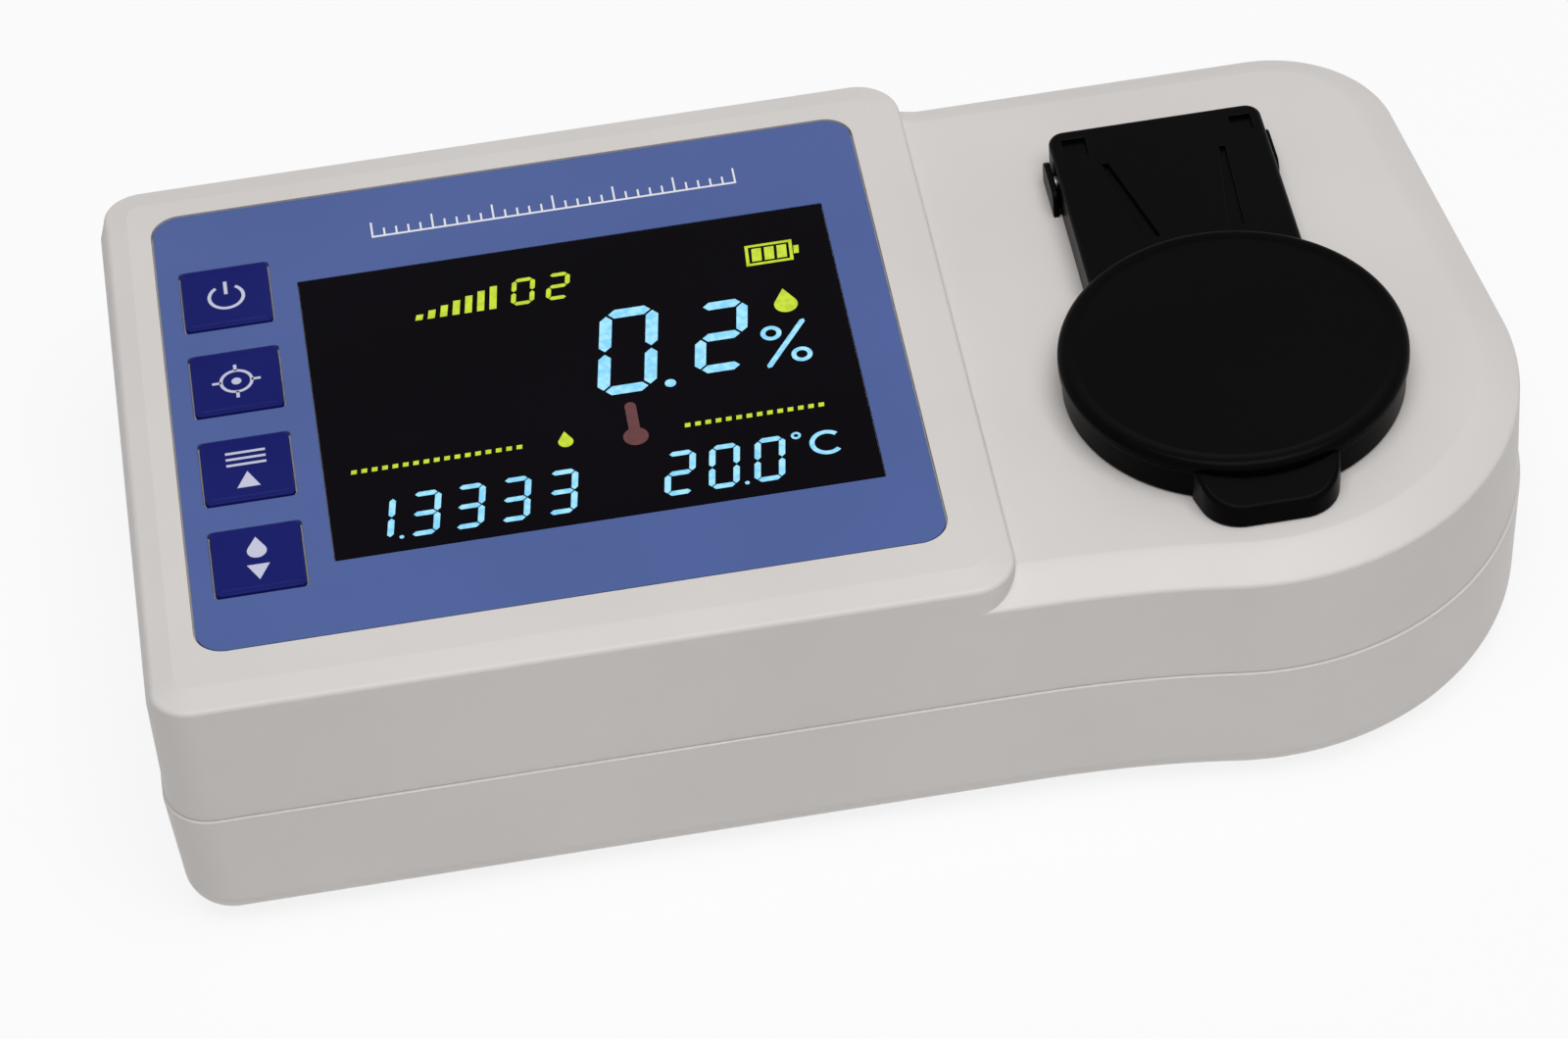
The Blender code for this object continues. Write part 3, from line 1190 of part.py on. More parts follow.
def temperature_sensor(model):
    """Small metal sensor that stands in the block, just under the well."""
    top = BLOCK_TOP
    probe = rod(probe_place(), PROBE_RADIUS, BLOCK_TOP - PROBE_LENGTH + CLEARANCE, top)
    model.piece("temperature_sensor", probe, "steel", (*probe_place(), top))


def lamp(model):
    """Light source: a round-nosed lamp in the left bore, on its own small board."""
    flange_end = BLOCK_LEFT + LAMP_FLANGE
    straight = LAMP_LENGTH - LAMP_RADIUS
    profile = [(x, z) for x, z in arc((0, straight), LAMP_RADIUS, QUARTER, 0, LAMP_STEPS)]
    profile += [(LAMP_RADIUS, 0), (LAMP_FLANGE_RADIUS, 0),
                (LAMP_FLANGE_RADIUS, -LAMP_FLANGE), (0, -LAMP_FLANGE)]
    nose = moved(turned(profile, SMALL_SIDES), Matrix.Translation((flange_end, LID_Y, LIGHT_AXIS))
                 @ Matrix.Rotation(QUARTER, 4, "Y"))
    model.piece("light_source", nose, "lamp", (flange_end, LID_Y, LIGHT_AXIS))
    half = LAMP_BOARD_SIZE / 2
    right = BLOCK_LEFT - CLEARANCE
    board = block((right - OPTIC_BOARD_THICKNESS, LID_Y - half, LIGHT_AXIS - half),
                  (right, LID_Y + half, LIGHT_AXIS + half))
    model.piece("light_board", board, "board", (right, LID_Y, LIGHT_AXIS))


def lens_and_barrel(model):
    """Lens tube in the right bore, with a lens held inside it."""
    end = BLOCK_RIGHT
    inner = BARREL_RADIUS - BARREL_WALL
    half = BARREL_LENGTH / 2
    tube = turned(((BARREL_RADIUS, half), (BARREL_RADIUS, -half), (inner, -half), (inner, half)),
                  ROUND_SIDES, closed=True)
    aim = Matrix.Rotation(QUARTER, 4, "Y")
    model.piece("lens_barrel", moved(tube, Matrix.Translation((end - half, LID_Y, LIGHT_AXIS)) @ aim),
                "chip", (end - half, LID_Y, LIGHT_AXIS))
    rim = inner - CLEARANCE
    swell = (LENS_THICKNESS - LENS_EDGE) / 2
    radius = (rim**2 + swell**2) / (2 * swell)
    sweep = math.asin(rim / radius)
    top = LENS_THICKNESS / 2 - radius
    cap = [(x, z) for x, z in arc((0, top), radius, QUARTER, QUARTER - sweep, LENS_STEPS)]
    profile = cap + [(x, -z) for x, z in reversed(cap)]
    place = Matrix.Translation((end - LENS_FROM_END, LID_Y, LIGHT_AXIS)) @ aim
    model.piece("collecting_lens", moved(turned(profile, ROUND_SIDES), place), "glass",
                (end - LENS_FROM_END, LID_Y, LIGHT_AXIS))


def line_sensor(model):
    """Line sensor that faces the lens, on its upright board."""
    left = BLOCK_RIGHT + CLEARANCE
    half_width = SENSOR_WIDTH / 2
    half_height = SENSOR_HEIGHT / 2
    chip = block((left, LID_Y - half_width, LIGHT_AXIS - half_height),
                 (left + SENSOR_THICKNESS, LID_Y + half_width, LIGHT_AXIS + half_height))
    model.piece("line_sensor", chip, "chip", (left, LID_Y, LIGHT_AXIS))
    board_left = left + SENSOR_THICKNESS + CLEARANCE
    half_width = SENSOR_BOARD_WIDTH / 2
    half_height = SENSOR_BOARD_HEIGHT / 2
    board = block((board_left, LID_Y - half_width, LIGHT_AXIS - half_height),
                  (board_left + OPTIC_BOARD_THICKNESS, LID_Y + half_width, LIGHT_AXIS + half_height))
    model.piece("sensor_board", board, "board", (board_left, LID_Y, LIGHT_AXIS))


def sensor_ribbon(model):
    """Flat cable from the sensor board, under the optics block, up to the main board."""
    start_x = BLOCK_RIGHT + SENSOR_THICKNESS + 2 * CLEARANCE + OPTIC_BOARD_THICKNESS / 2
    start_z = LIGHT_AXIS - SENSOR_BOARD_HEIGHT / 2 - CLEARANCE
    end_x = BOARD_BOX[2] - RIBBON_FROM_EDGE
    low = BLOCK_UNDER - RIBBON_DROP
    bend = RIBBON_BEND
    path = [(start_x, start_z)]
    path += arc((start_x - bend, low + bend), bend, 0, -QUARTER, CORNER_STEPS)
    path += arc((end_x + bend, low + bend), bend, -QUARTER, -math.pi, CORNER_STEPS)
    path.append((end_x, BOARD_UNDER - CLEARANCE))
    half = RIBBON_WIDTH / 2
    band = along_y(slab([strip(path, RIBBON_THICKNESS)], -LID_Y - half, -LID_Y + half))
    model.piece("sensor_ribbon", band, "ribbon", (start_x, LID_Y, start_z))


# Batteries and underside

def batteries(model):
    """Four round cells lying side by side, alternate ones turned round."""
    left = BAY_X - (CELL_LENGTH + CELL_NUB_LENGTH) / 2
    profile = ((0, CELL_LENGTH + CELL_NUB_LENGTH), (CELL_NUB_RADIUS, CELL_LENGTH + CELL_NUB_LENGTH),
               (CELL_NUB_RADIUS, CELL_LENGTH), (CELL_RADIUS - CELL_EDGE, CELL_LENGTH),
               (CELL_RADIUS, CELL_LENGTH - CELL_EDGE), (CELL_RADIUS, CELL_EDGE),
               (CELL_RADIUS - CELL_EDGE, 0), (0, 0))
    for i, y in enumerate(cell_places()):
        way = 1 if i % 2 == 0 else -1
        start = left if way > 0 else left + CELL_LENGTH + CELL_NUB_LENGTH
        place = Matrix.Translation((start, y, CELL_Z)) @ Matrix.Rotation(way * QUARTER, 4, "Y")
        cell = moved(turned(profile, SMALL_SIDES), place)
        model.piece(f"battery_cell_{i + 1}", cell, "cell", (start, y, CELL_Z))


def battery_contacts(model):
    """Spring plates at both ends of the bay."""
    span = BAY_DEPTH / 2 - CELL_GAP
    for name, side in (("contact_plate_left", -1), ("contact_plate_right", 1)):
        wall = BAY_X + side * (BAY_LENGTH / 2 - CLEARANCE)
        face = wall - side * CONTACT_THICKNESS
        plate = block((min(wall, face), BAY_Y - span, CELL_Z - CONTACT_HEIGHT / 2),
                      (max(wall, face), BAY_Y + span, CELL_Z + CONTACT_HEIGHT / 2))
        item = model.piece(name, plate, "steel", (wall, BAY_Y, CELL_Z))
        tip = face - side * CONTACT_BUMP
        ends = sorted((tip, face + side * CONTACT_THICKNESS / 2))
        bumps = [rod_along_x((y, CELL_Z), CONTACT_BUMP_RADIUS, *ends) for y in cell_places()]
        model.join(item, merged(bumps), "bumps")


def battery_door(model):
    """Door with a rounded hinge edge and two side pins."""
    half = DOOR_DEPTH / 2
    thick = DOOR_THICKNESS / 2
    right = DOOR_LEFT + DOOR_LENGTH
    outline = arc((DOOR_HINGE.x, DOOR_HINGE.z), thick, QUARTER, 3 * QUARTER, DOOR_EDGE_STEPS)
    outline += [(right, UNDERSIDE), (right, DOOR_TOP)]
    plate = along_y(slab([outline], -BAY_Y - half, -BAY_Y + half))
    door = model.piece("battery_door", plate, "case", DOOR_HINGE)
    reach = half + DOOR_PIN_LENGTH
    pins = rod_along_y((DOOR_HINGE.x, DOOR_HINGE.z), DOOR_PIN_RADIUS, BAY_Y - reach, BAY_Y + reach,
                       SMALL_SIDES // 2)
    model.join(door, pins, "pins")


def feet(model):
    """Rubber feet, each sitting in a shallow recess of the underside."""
    top = UNDERSIDE + FOOT_RECESS - CLEARANCE
    for name, place in foot_places().items():
        model.piece(name, rod(place, FOOT_RADIUS, 0.0, top, ROUND_SIDES), "rubber", (*place, 0.0))


def case_screws(model):
    """Six long screws that draw the two shells together from below."""
    head = (CASE_HEAD_RADIUS, CASE_HEAD_HEIGHT,
            UNDERSIDE + CASE_HEAD_DEPTH - CLEARANCE - CASE_HEAD_HEIGHT)
    screws(model, "case_screw", case_screw_places(), head, CASE_SCREW_RADIUS, SEAM + CASE_SCREW_GRIP)


def main():
    clear_scene()
    model = Model()
    upper_shell(model)
    lower_shell(model)
    panel_film(model)
    keys(model)
    display_window(model)
    display_module(model)
    main_board(model)
    key_switches(model)
    lid(model)
    lid_seal(model)
    hinge_pin(model)
    sample_well(model)
    measuring_prism(model)
    optics_block(model)
    temperature_sensor(model)
    lamp(model)
    lens_and_barrel(model)
    line_sensor(model)
    sensor_ribbon(model)
    batteries(model)
    battery_contacts(model)
    battery_door(model)
    feet(model)
    case_screws(model)


main()
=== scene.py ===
# %% [markdown]
# # A bench digital refractometer
#
# The instrument is a low plastic case in two halves. Its left half carries a raised blue
# panel with a dark display and four keys. Its right half is lower and round, and carries a
# black hinged lid over a steel sample well with a glass prism at the bottom.
#
# The measured solid parts come first, as a fixed frame. Everything made below is laid over
# that frame in the same place and at the same size, so nothing here has to be fitted.

import bmesh
import bpy
import numpy as np
from mathutils import Matrix


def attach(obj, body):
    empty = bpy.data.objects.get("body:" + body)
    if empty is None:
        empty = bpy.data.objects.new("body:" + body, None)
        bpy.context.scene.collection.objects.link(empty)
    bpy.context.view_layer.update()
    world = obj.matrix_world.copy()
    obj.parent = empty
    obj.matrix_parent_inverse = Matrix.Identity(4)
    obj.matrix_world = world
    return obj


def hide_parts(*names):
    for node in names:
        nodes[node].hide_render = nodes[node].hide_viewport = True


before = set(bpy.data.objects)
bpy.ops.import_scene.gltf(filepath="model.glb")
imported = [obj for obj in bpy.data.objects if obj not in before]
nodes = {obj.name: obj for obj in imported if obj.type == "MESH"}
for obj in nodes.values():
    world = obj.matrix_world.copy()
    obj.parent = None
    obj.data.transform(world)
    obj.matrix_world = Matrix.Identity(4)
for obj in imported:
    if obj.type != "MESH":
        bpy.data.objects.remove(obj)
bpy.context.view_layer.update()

# %% [markdown]
# ## The camera
#
# A long lens looks down on the instrument from the front, about 44 degrees above the bench
# and a little from the left. It was found by matching the corners of the panel, the
# display and the lid. The picture leans by some five degrees, as if the camera had been
# held slightly turned, so the camera's own sideways direction is turned by that roll.
# Building the camera's three directions by hand keeps all of this in one matrix.

# %% Camera
IMAGE_WIDTH = 1600
FOCAL_PIXELS = 5800.0
AZIMUTH, ELEVATION, ROLL = np.radians((-4.795, 44.053, -5.439))
AIM = np.array((-0.009497, -0.036342, 0.046))
DISTANCE = 0.829246

back = np.array((np.sin(AZIMUTH) * np.cos(ELEVATION), -np.cos(AZIMUTH) * np.cos(ELEVATION),
                 np.sin(ELEVATION)))
side = np.cross((0.0, 0.0, 1.0), back)
side /= np.linalg.norm(side)
up = np.cross(back, side)
right = np.cos(ROLL) * side + np.sin(ROLL) * up
top = -np.sin(ROLL) * side + np.cos(ROLL) * up

camera_data = bpy.data.cameras.new("camera")
camera_data.sensor_width = 36.0
camera_data.lens = camera_data.sensor_width * FOCAL_PIXELS / IMAGE_WIDTH
camera_data.clip_start, camera_data.clip_end = 0.05, 20.0
camera = bpy.data.objects.new("camera", camera_data)
bpy.context.scene.collection.objects.link(camera)
columns = np.column_stack((right, top, back, AIM + back * DISTANCE))
camera.matrix_world = Matrix(np.vstack((columns, (0, 0, 0, 1))).tolist())
bpy.context.scene.camera = camera
print("camera lens", round(camera_data.lens, 1), "mm, at", np.round(camera.location, 3).tolist())

# %% [markdown]
# ## Light and floor
#
# Product pictures of a pale instrument use one broad soft light from above and a pale
# table that throws light back up. The table's own bounce does much of the work on the
# walls, so the world is only a weak even fill. The broad lamp hangs high and a little in
# front, which keeps the top and its front edge bright and the front wall a step darker.
# Rays from the camera, mirrored rays and rays through glass see a plain white backdrop.

# %% Light and floor
world = bpy.data.worlds.new("studio")
bpy.context.scene.world = world
world.use_nodes = True
world_nodes, world_links = world.node_tree.nodes, world.node_tree.links
world_nodes.clear()
fill = world_nodes.new("ShaderNodeBackground")
fill.inputs["Color"].default_value = (0.97, 0.98, 1.0, 1.0)
fill.inputs["Strength"].default_value = 0.20
backdrop = world_nodes.new("ShaderNodeBackground")
backdrop.inputs["Color"].default_value = (1.0, 1.0, 1.0, 1.0)
backdrop.inputs["Strength"].default_value = 1.0
mix = world_nodes.new("ShaderNodeMixShader")
world_out = world_nodes.new("ShaderNodeOutputWorld")
world_links.new(fill.outputs[0], mix.inputs[1])
world_links.new(backdrop.outputs[0], mix.inputs[2])
world_links.new(mix.outputs[0], world_out.inputs["Surface"])


def sees_backdrop(tree):
    """One for rays that show a background: from the camera, mirrored or through glass."""
    path = tree.nodes.new("ShaderNodeLightPath")
    either = path.outputs["Is Camera Ray"]
    for kind in ("Is Glossy Ray", "Is Transmission Ray"):
        larger = tree.nodes.new("ShaderNodeMath")
        larger.operation = "MAXIMUM"
        tree.links.new(either, larger.inputs[0])
        tree.links.new(path.outputs[kind], larger.inputs[1])
        either = larger.outputs[0]
    return either


world_links.new(sees_backdrop(world.node_tree), mix.inputs[0])

LAMP_PLACE = (0.10, -0.40, 1.5)
lamp_data = bpy.data.lights.new("overhead", "AREA")
lamp_data.shape = "SQUARE"
lamp_data.size = 1.3
lamp_data.energy = 21.5
lamp = bpy.data.objects.new("overhead", lamp_data)
bpy.context.scene.collection.objects.link(lamp)
lamp.location = LAMP_PLACE
lamp.rotation_euler = (-lamp.location).to_track_quat("-Z", "Y").to_euler()
print("lamp:", lamp.name, "at", LAMP_PLACE, "m")

# %% [markdown]
# ## Helpers for shapes
#
# Nearly every piece of this instrument is a closed outline carried up through a stack of
# levels: the case walls, the keys, the lid's arm, the feet. So one function turns a stack
# of rings into a closed skin. The ring number is one parameter, the place along the ring
# is the other, and the whole grid of points is worked out at once. Sizes are written in
# millimetres, as on a drawing, and become metres only when the mesh is made.

# %% Shape helpers
MM = 0.001


def arc(x, y, radius, start, end, count):
    """Points at x + radius cos t, y + radius sin t, for count angles from start to end in degrees."""
    t = np.radians(np.linspace(start, end, count))
    return np.column_stack((x + radius * np.cos(t), y + radius * np.sin(t)))


def glide(start, way_out, end, way_in, count):
    """A cubic curve that leaves start along way_out and reaches end along way_in: each
    point is the sum of the four Hermite weights times the ends and their directions."""
    start, end = np.array(start), np.array(end)
    reach = np.linalg.norm(end - start)
    t = np.linspace(0, 1, count)[1:-1, None]
    return ((2 * t**3 - 3 * t**2 + 1) * start + (t**3 - 2 * t**2 + t) * reach * np.array(way_out)
            + (3 * t**2 - 2 * t**3) * end + (t**3 - t**2) * reach * np.array(way_in))


def rounded_box(x0, y0, x1, y1, radius, count=10):
    """A rectangle with round corners, counter-clockwise."""
    r = max(radius, 0.01)
    return np.vstack((arc(x0 + r, y0 + r, r, 180, 270, count), arc(x1 - r, y0 + r, r, 270, 360, count),
                      arc(x1 - r, y1 - r, r, 0, 90, count), arc(x0 + r, y1 - r, r, 90, 180, count)))


def grown(rectangle, by):
    """A rectangle (x0, y0, x1, y1) whose four sides have moved outwards."""
    x0, y0, x1, y1 = rectangle
    return x0 - by, y0 - by, x1 + by, y1 + by


def inset(outline, distance):
    """Each point moves inwards along the mean of its two edge normals, by the distance
    divided by the cosine of half the corner, so straight sides stay parallel."""
    before = outline - np.roll(outline, 1, 0)
    after = np.roll(outline, -1, 0) - outline
    n1 = np.column_stack((-before[:, 1], before[:, 0])) / np.linalg.norm(before, axis=1)[:, None]
    n2 = np.column_stack((-after[:, 1], after[:, 0])) / np.linalg.norm(after, axis=1)[:, None]
    mean = n1 + n2
    return outline + mean * distance / np.maximum((mean * n1).sum(1), 0.2)[:, None]


def stack(outline_at, levels):
    """Rings for a list of (inset, height) levels; outline_at gives the outline for an inset."""
    rings = np.array([outline_at(depth) for depth, _ in levels])
    heights = np.array([height for _, height in levels])[:, None, None]
    return np.concatenate((rings, np.broadcast_to(heights, rings.shape[:2] + (1,))), 2)


def skin(rings, ring_closed=False):
    """A grid of points [ring, place] becomes quads; the first and last rings are capped,
    or joined to each other when ring_closed, as round a tube."""
    m, n = rings.shape[:2]
    i, j = np.meshgrid(np.arange(m if ring_closed else m - 1), np.arange(n), indexing="ij")
    i2, j2 = (i + 1) % m, (j + 1) % n
    quads = np.stack((i * n + j, i * n + j2, i2 * n + j2, i2 * n + j), -1).reshape(-1, 4).tolist()
    if not ring_closed:
        quads += [list(range(n))[::-1], list(range((m - 1) * n, m * n))]
    return rings.reshape(-1, 3), quads


def straight(outline, low, high):
    """A shape with upright walls: one outline carried from low to high."""
    return skin(stack(lambda _: np.asarray(outline, float), [(0, low), (0, high)]))


def turned(profile, x, y, count=96, ring_closed=False):
    """A profile of (radius, height) turned about an upright axis at x, y: each point is
    radius cos t, radius sin t, height."""
    t = np.linspace(0, 2 * np.pi, count, endpoint=False)
    profile = np.array(profile, float)
    radius = np.maximum(profile[:, 0], 0.002)[:, None]
    grid = np.stack((x + radius * np.cos(t), y + radius * np.sin(t), np.repeat(profile[:, 1:], count, 1)), -1)
    return skin(grid, ring_closed)


def quarter(x, z, radius, start, end, count=8):
    """(inset or radius, height) points along part of a circle, for edges that are rounded."""
    return arc(x, z, radius, start, end, count).tolist()


def crown_levels(base, top, radius):
    """Levels of a wall that stands from base and rounds over inwards at the top."""
    t = np.linspace(0, np.pi / 2, 8)
    over = np.column_stack((radius * (1 - np.cos(t)), top - radius * (1 - np.sin(t))))
    return [(0.0, base)] + over.tolist()


def lay_along_x(shape):
    """Turns each (a, b, h) into (h, a, b): a shape drawn in side view, thick along X."""
    points, faces = shape
    return points[:, [2, 0, 1]], faces


def lay_along_y(shape):
    """Turns each (a, b, h) into (a, -h, b): a shape drawn in front view, thick along Y."""
    points, faces = shape
    return np.column_stack((points[:, 0], -points[:, 2], points[:, 1])), faces


def new_piece(name, points, faces):
    """Makes an object at the origin whose mesh holds the points, in metres."""
    mesh = bpy.data.meshes.new(name)
    mesh.from_pydata((np.asarray(points) * MM).tolist(), [], faces)
    mesh.update()
    piece = bpy.data.objects.new(name, mesh)
    bpy.context.scene.collection.objects.link(piece)
    return piece


def gather(shapes):
    """Puts several (points, faces) shapes into one list of points and faces."""
    points, faces, count = [], [], 0
    for part_points, part_faces in shapes:
        points.append(part_points)
        faces += [[index + count for index in face] for face in part_faces]
        count += len(part_points)
    return np.vstack(points), faces


print("three points on a corner of seven millimetres:", np.round(arc(0, 0, 7, 0, 90, 3), 2).tolist())

# %% [markdown]
# Where two solids meet, as an arm meets a round cap, a Boolean joins them, and the same
# tool cuts pockets and holes. The modifier is worked out at once and the result kept, so
# the finished piece is a plain mesh. Smooth shading on such a mesh would smear light over
# its large flat faces; weighting each corner's direction by face size keeps flats flat.

# %% Joining and cutting
def work(piece, points, faces, how):
    """Joins a shape to the piece (UNION) or takes it away (DIFFERENCE)."""
    tool = new_piece("tool", points, faces)
    step = piece.modifiers.new("work", "BOOLEAN")
    step.operation = how
    step.solver = "MANIFOLD"
    step.object = tool
    bpy.context.view_layer.update()
    worked = bpy.data.meshes.new_from_object(piece.evaluated_get(bpy.context.evaluated_depsgraph_get()))
    piece.modifiers.clear()
    old = piece.data
    worked.name = old.name
    piece.data = worked
    bpy.data.meshes.remove(old)
    tool_mesh = tool.data
    bpy.data.objects.remove(tool)
    bpy.data.meshes.remove(tool_mesh)
    return piece


def join(piece, shape):
    return work(piece, *shape, "UNION")


def cut(piece, shape):
    return work(piece, *shape, "DIFFERENCE")


def box(rectangle, low, high):
    """A plain block over a rectangle (x0, y0, x1, y1)."""
    x0, y0, x1, y1 = rectangle
    return straight(((x0, y0), (x1, y0), (x1, y1), (x0, y1)), low, high)


def rod(x, y, radius, low, high, count=64):
    """An upright cylinder."""
    return turned([(0, low), (radius, low), (radius, high), (0, high)], x, y, count)


def rod_x(y, z, radius, x0, x1, edge=0.0):
    """A cylinder along X, with its ends rounded by edge."""
    t = np.linspace(0, np.pi / 2, 5)
    bend = edge * (1 - np.cos(t))
    rise = edge * np.sin(t)
    ends = [(0, x0)] + list(zip(radius - bend[::-1], x0 + edge - rise[::-1]))
    ends += list(zip(radius - bend, x1 - edge + rise)) + [(0, x1)]
    return lay_along_x(turned(ends, y, z, 48))


def place_on(piece, body, material, replaces=(), smooth=30.0, weighted=True):
    """Gives a piece its shading, its material and the body it moves with, and hides the nodes it stands for.
    """
    mesh = piece.data
    bm = bmesh.new()
    bm.from_mesh(mesh)
    bmesh.ops.remove_doubles(bm, verts=bm.verts, dist=1e-7)
    bmesh.ops.dissolve_degenerate(bm, edges=bm.edges, dist=1e-7)
    bm.to_mesh(mesh)
    bm.free()
    mesh.shade_smooth()
    mesh.set_sharp_from_angle(angle=np.radians(smooth))
    if weighted:
        even = piece.modifiers.new("flat_faces_stay_flat", "WEIGHTED_NORMAL")
        even.keep_sharp = True
    mesh.materials.clear()
    mesh.materials.append(material)
    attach(piece, body)
    if replaces:
        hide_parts(*replaces)
    return piece


print("joining and cutting ready")

# %% [markdown]
# ## Finishes
#
# Each finish starts from one shader and gets its life from small changes in height,
# roughness and tint. All of them are driven by the object's own coordinates, in metres, so
# a grain of half a millimetre needs a scale of about two thousand.

# %% Finish helpers
def finish(name, color, roughness, metallic=0.0, **sockets):
    """A material with one main shader; sockets names more of its values."""
    material = bpy.data.materials.new(name)
    material.use_nodes = True
    shader = material.node_tree.nodes["Principled BSDF"]
    shader.inputs["Base Color"].default_value = (*color, 1.0)
    shader.inputs["Roughness"].default_value = roughness
    shader.inputs["Metallic"].default_value = metallic
    for socket, value in sockets.items():
        shader.inputs[socket.replace("_", " ")].default_value = value
    return material, shader


def add(material, kind, **values):
    """A new node in the material, with some of its inputs set."""
    node = material.node_tree.nodes.new(kind)
    for name, value in values.items():
        node.inputs[name].default_value = value
    return node


def link(material, source, target):
    material.node_tree.links.new(source, target)


def own_coordinates(material, centre=(0, 0, 0), stretch=(1, 1, 1)):
    """The object's coordinates in metres, moved to a centre and stretched."""
    source = add(material, "ShaderNodeTexCoord")
    mapping = add(material, "ShaderNodeMapping")
    mapping.inputs["Location"].default_value = [-c * s for c, s in zip(centre, stretch)]
    mapping.inputs["Scale"].default_value = stretch
    link(material, source.outputs["Object"], mapping.inputs["Vector"])
    return mapping.outputs["Vector"]


def grain(material, where, scale, detail=3.0, roughness=0.5):
    """A noise pattern, read as one value from 0 to 1."""
    noise = add(material, "ShaderNodeTexNoise", Scale=scale, Detail=detail, Roughness=roughness)
    link(material, where, noise.inputs["Vector"])
    return noise.outputs["Fac"]


def spread(material, value, low, high):
    """Maps a value from 0..1 to low..high."""
    ramp = add(material, "ShaderNodeMapRange")
    ramp.inputs["To Min"].default_value = low
    ramp.inputs["To Max"].default_value = high
    link(material, value, ramp.inputs["Value"])
    return ramp.outputs["Result"]


def tint(material, shader, value, first, second, low=0.35, high=0.65, socket="Base Color"):
    """Colours the shader from first to second as the value goes from low to high."""
    ramp = material.node_tree.nodes.new("ShaderNodeValToRGB")
    for element, place, color in zip(ramp.color_ramp.elements, (low, high), (first, second)):
        element.position = place
        element.color = (*color, 1.0)
    link(material, value, ramp.inputs["Fac"])
    link(material, ramp.outputs["Color"], shader.inputs[socket])
    return ramp


def maths(material, operation, *inputs):
    """One sum, as a node; each input is a number or the output of another node."""
    node = add(material, "ShaderNodeMath")
    node.operation = operation
    for socket, value in zip(node.inputs, inputs):
        if isinstance(value, float):
            socket.default_value = value
        else:
            link(material, value, socket)
    return node.outputs[0]


def bump(material, shader, height, strength, distance):
    """Raises the surface by a height pattern."""
    node = add(material, "ShaderNodeBump", Strength=strength, Distance=distance)
    link(material, height, node.inputs["Height"])
    link(material, node.outputs["Normal"], shader.inputs["Normal"])


def moulded(name, first, second, roughness, scale, strength, **sockets):
    """Moulded plastic: a fine even texture, a slow drift of tint and of gloss."""
    material, shader = finish(name, first, roughness, **sockets)
    where = own_coordinates(material)
    tint(material, shader, grain(material, where, 26.0), first, second)
    link(material, spread(material, grain(material, where, 90.0), roughness - 0.05, roughness + 0.05),
         shader.inputs["Roughness"])
    bump(material, shader, grain(material, where, scale, 2.0, 0.6), strength, 0.00006)
    return material


print("finish helpers ready")

# %% [markdown]
# The case is a warm off-white plastic with the dull, very fine texture that a sparked
# mould leaves. The lid is the same kind of plastic in black, a little smoother, so that
# its edges catch a soft grey light. The feet, the lid's seal and the gasket are rubber.

# %% Plastics and rubber
case_plastic = moulded("case_plastic", (0.655, 0.622, 0.598), (0.680, 0.648, 0.624), 0.46, 1500.0, 0.10,
                       Specular_IOR_Level=0.35)
lid_plastic = moulded("lid_plastic", (0.0012, 0.0009, 0.0010), (0.0018, 0.0014, 0.0015), 0.30, 1300.0, 0.10,
                      Specular_IOR_Level=0.025)
black_plastic = moulded("chip_plastic", (0.016, 0.016, 0.018), (0.024, 0.024, 0.026), 0.5, 1800.0, 0.15)
rubber = moulded("black_rubber", (0.018, 0.018, 0.018), (0.03, 0.03, 0.03), 0.78, 900.0, 0.3)
print("plastics:", case_plastic.name, lid_plastic.name, black_plastic.name, rubber.name)

# %% [markdown]
# The blue panel and the navy keys are printed film. Film has a faint even sheen and a very
# fine tooth. The keys are the same film in a darker ink. The display is a dark window with
# a polished face; the figures behind it glow, so their colour is given as light.

# %% Film, window and lit figures
panel_film = moulded("panel_film", (0.072, 0.116, 0.315), (0.079, 0.124, 0.335), 0.40, 2600.0, 0.05,
                     Specular_IOR_Level=0.15)
key_film = moulded("key_film", (0.007, 0.010, 0.126), (0.010, 0.014, 0.142), 0.38, 2400.0, 0.07,
                   Specular_IOR_Level=0.04)
window_acrylic = moulded("window_acrylic", (0.0022, 0.0015, 0.0030), (0.0028, 0.0020, 0.0038), 0.14,
                         700.0, 0.01, Specular_IOR_Level=0.02)
white_ink = moulded("white_ink", (0.78, 0.78, 0.82), (0.84, 0.84, 0.88), 0.5, 2000.0, 0.04)
key_ink = moulded("key_ink", (0.52, 0.53, 0.68), (0.58, 0.59, 0.74), 0.5, 2000.0, 0.04)


def glowing(name, first, second, strength):
    """A lit display segment: light that drifts a little between two close colours."""
    material, shader = finish(name, tuple(c * 0.2 for c in first), 0.3)
    drift = grain(material, own_coordinates(material), 900.0)
    tint(material, shader, drift, first, second, 0.4, 0.6, "Emission Color")
    shader.inputs["Emission Strength"].default_value = strength
    return material


cyan_figures = glowing("cyan_figures", (0.20, 0.62, 0.92), (0.38, 0.80, 1.0), 0.85)
green_figures = glowing("green_figures", (0.50, 0.66, 0.004), (0.66, 0.82, 0.01), 0.75)
red_figure = glowing("red_figure", (0.075, 0.006, 0.008), (0.11, 0.010, 0.012), 0.8)
print("display colours:", cyan_figures.name, green_figures.name, red_figure.name)

# %% [markdown]
# Metals: the sample well is turned stainless steel, so its marks are fine circles about
# its axis. They come from the distance to the axis, sent through a wave. Screws are zinc
# plated, the optics block is milled aluminium, and the battery contacts are sprung steel.

# %% Metals, glass and boards
WELL_CENTRE = (0.0609, -0.0191, 0.0)


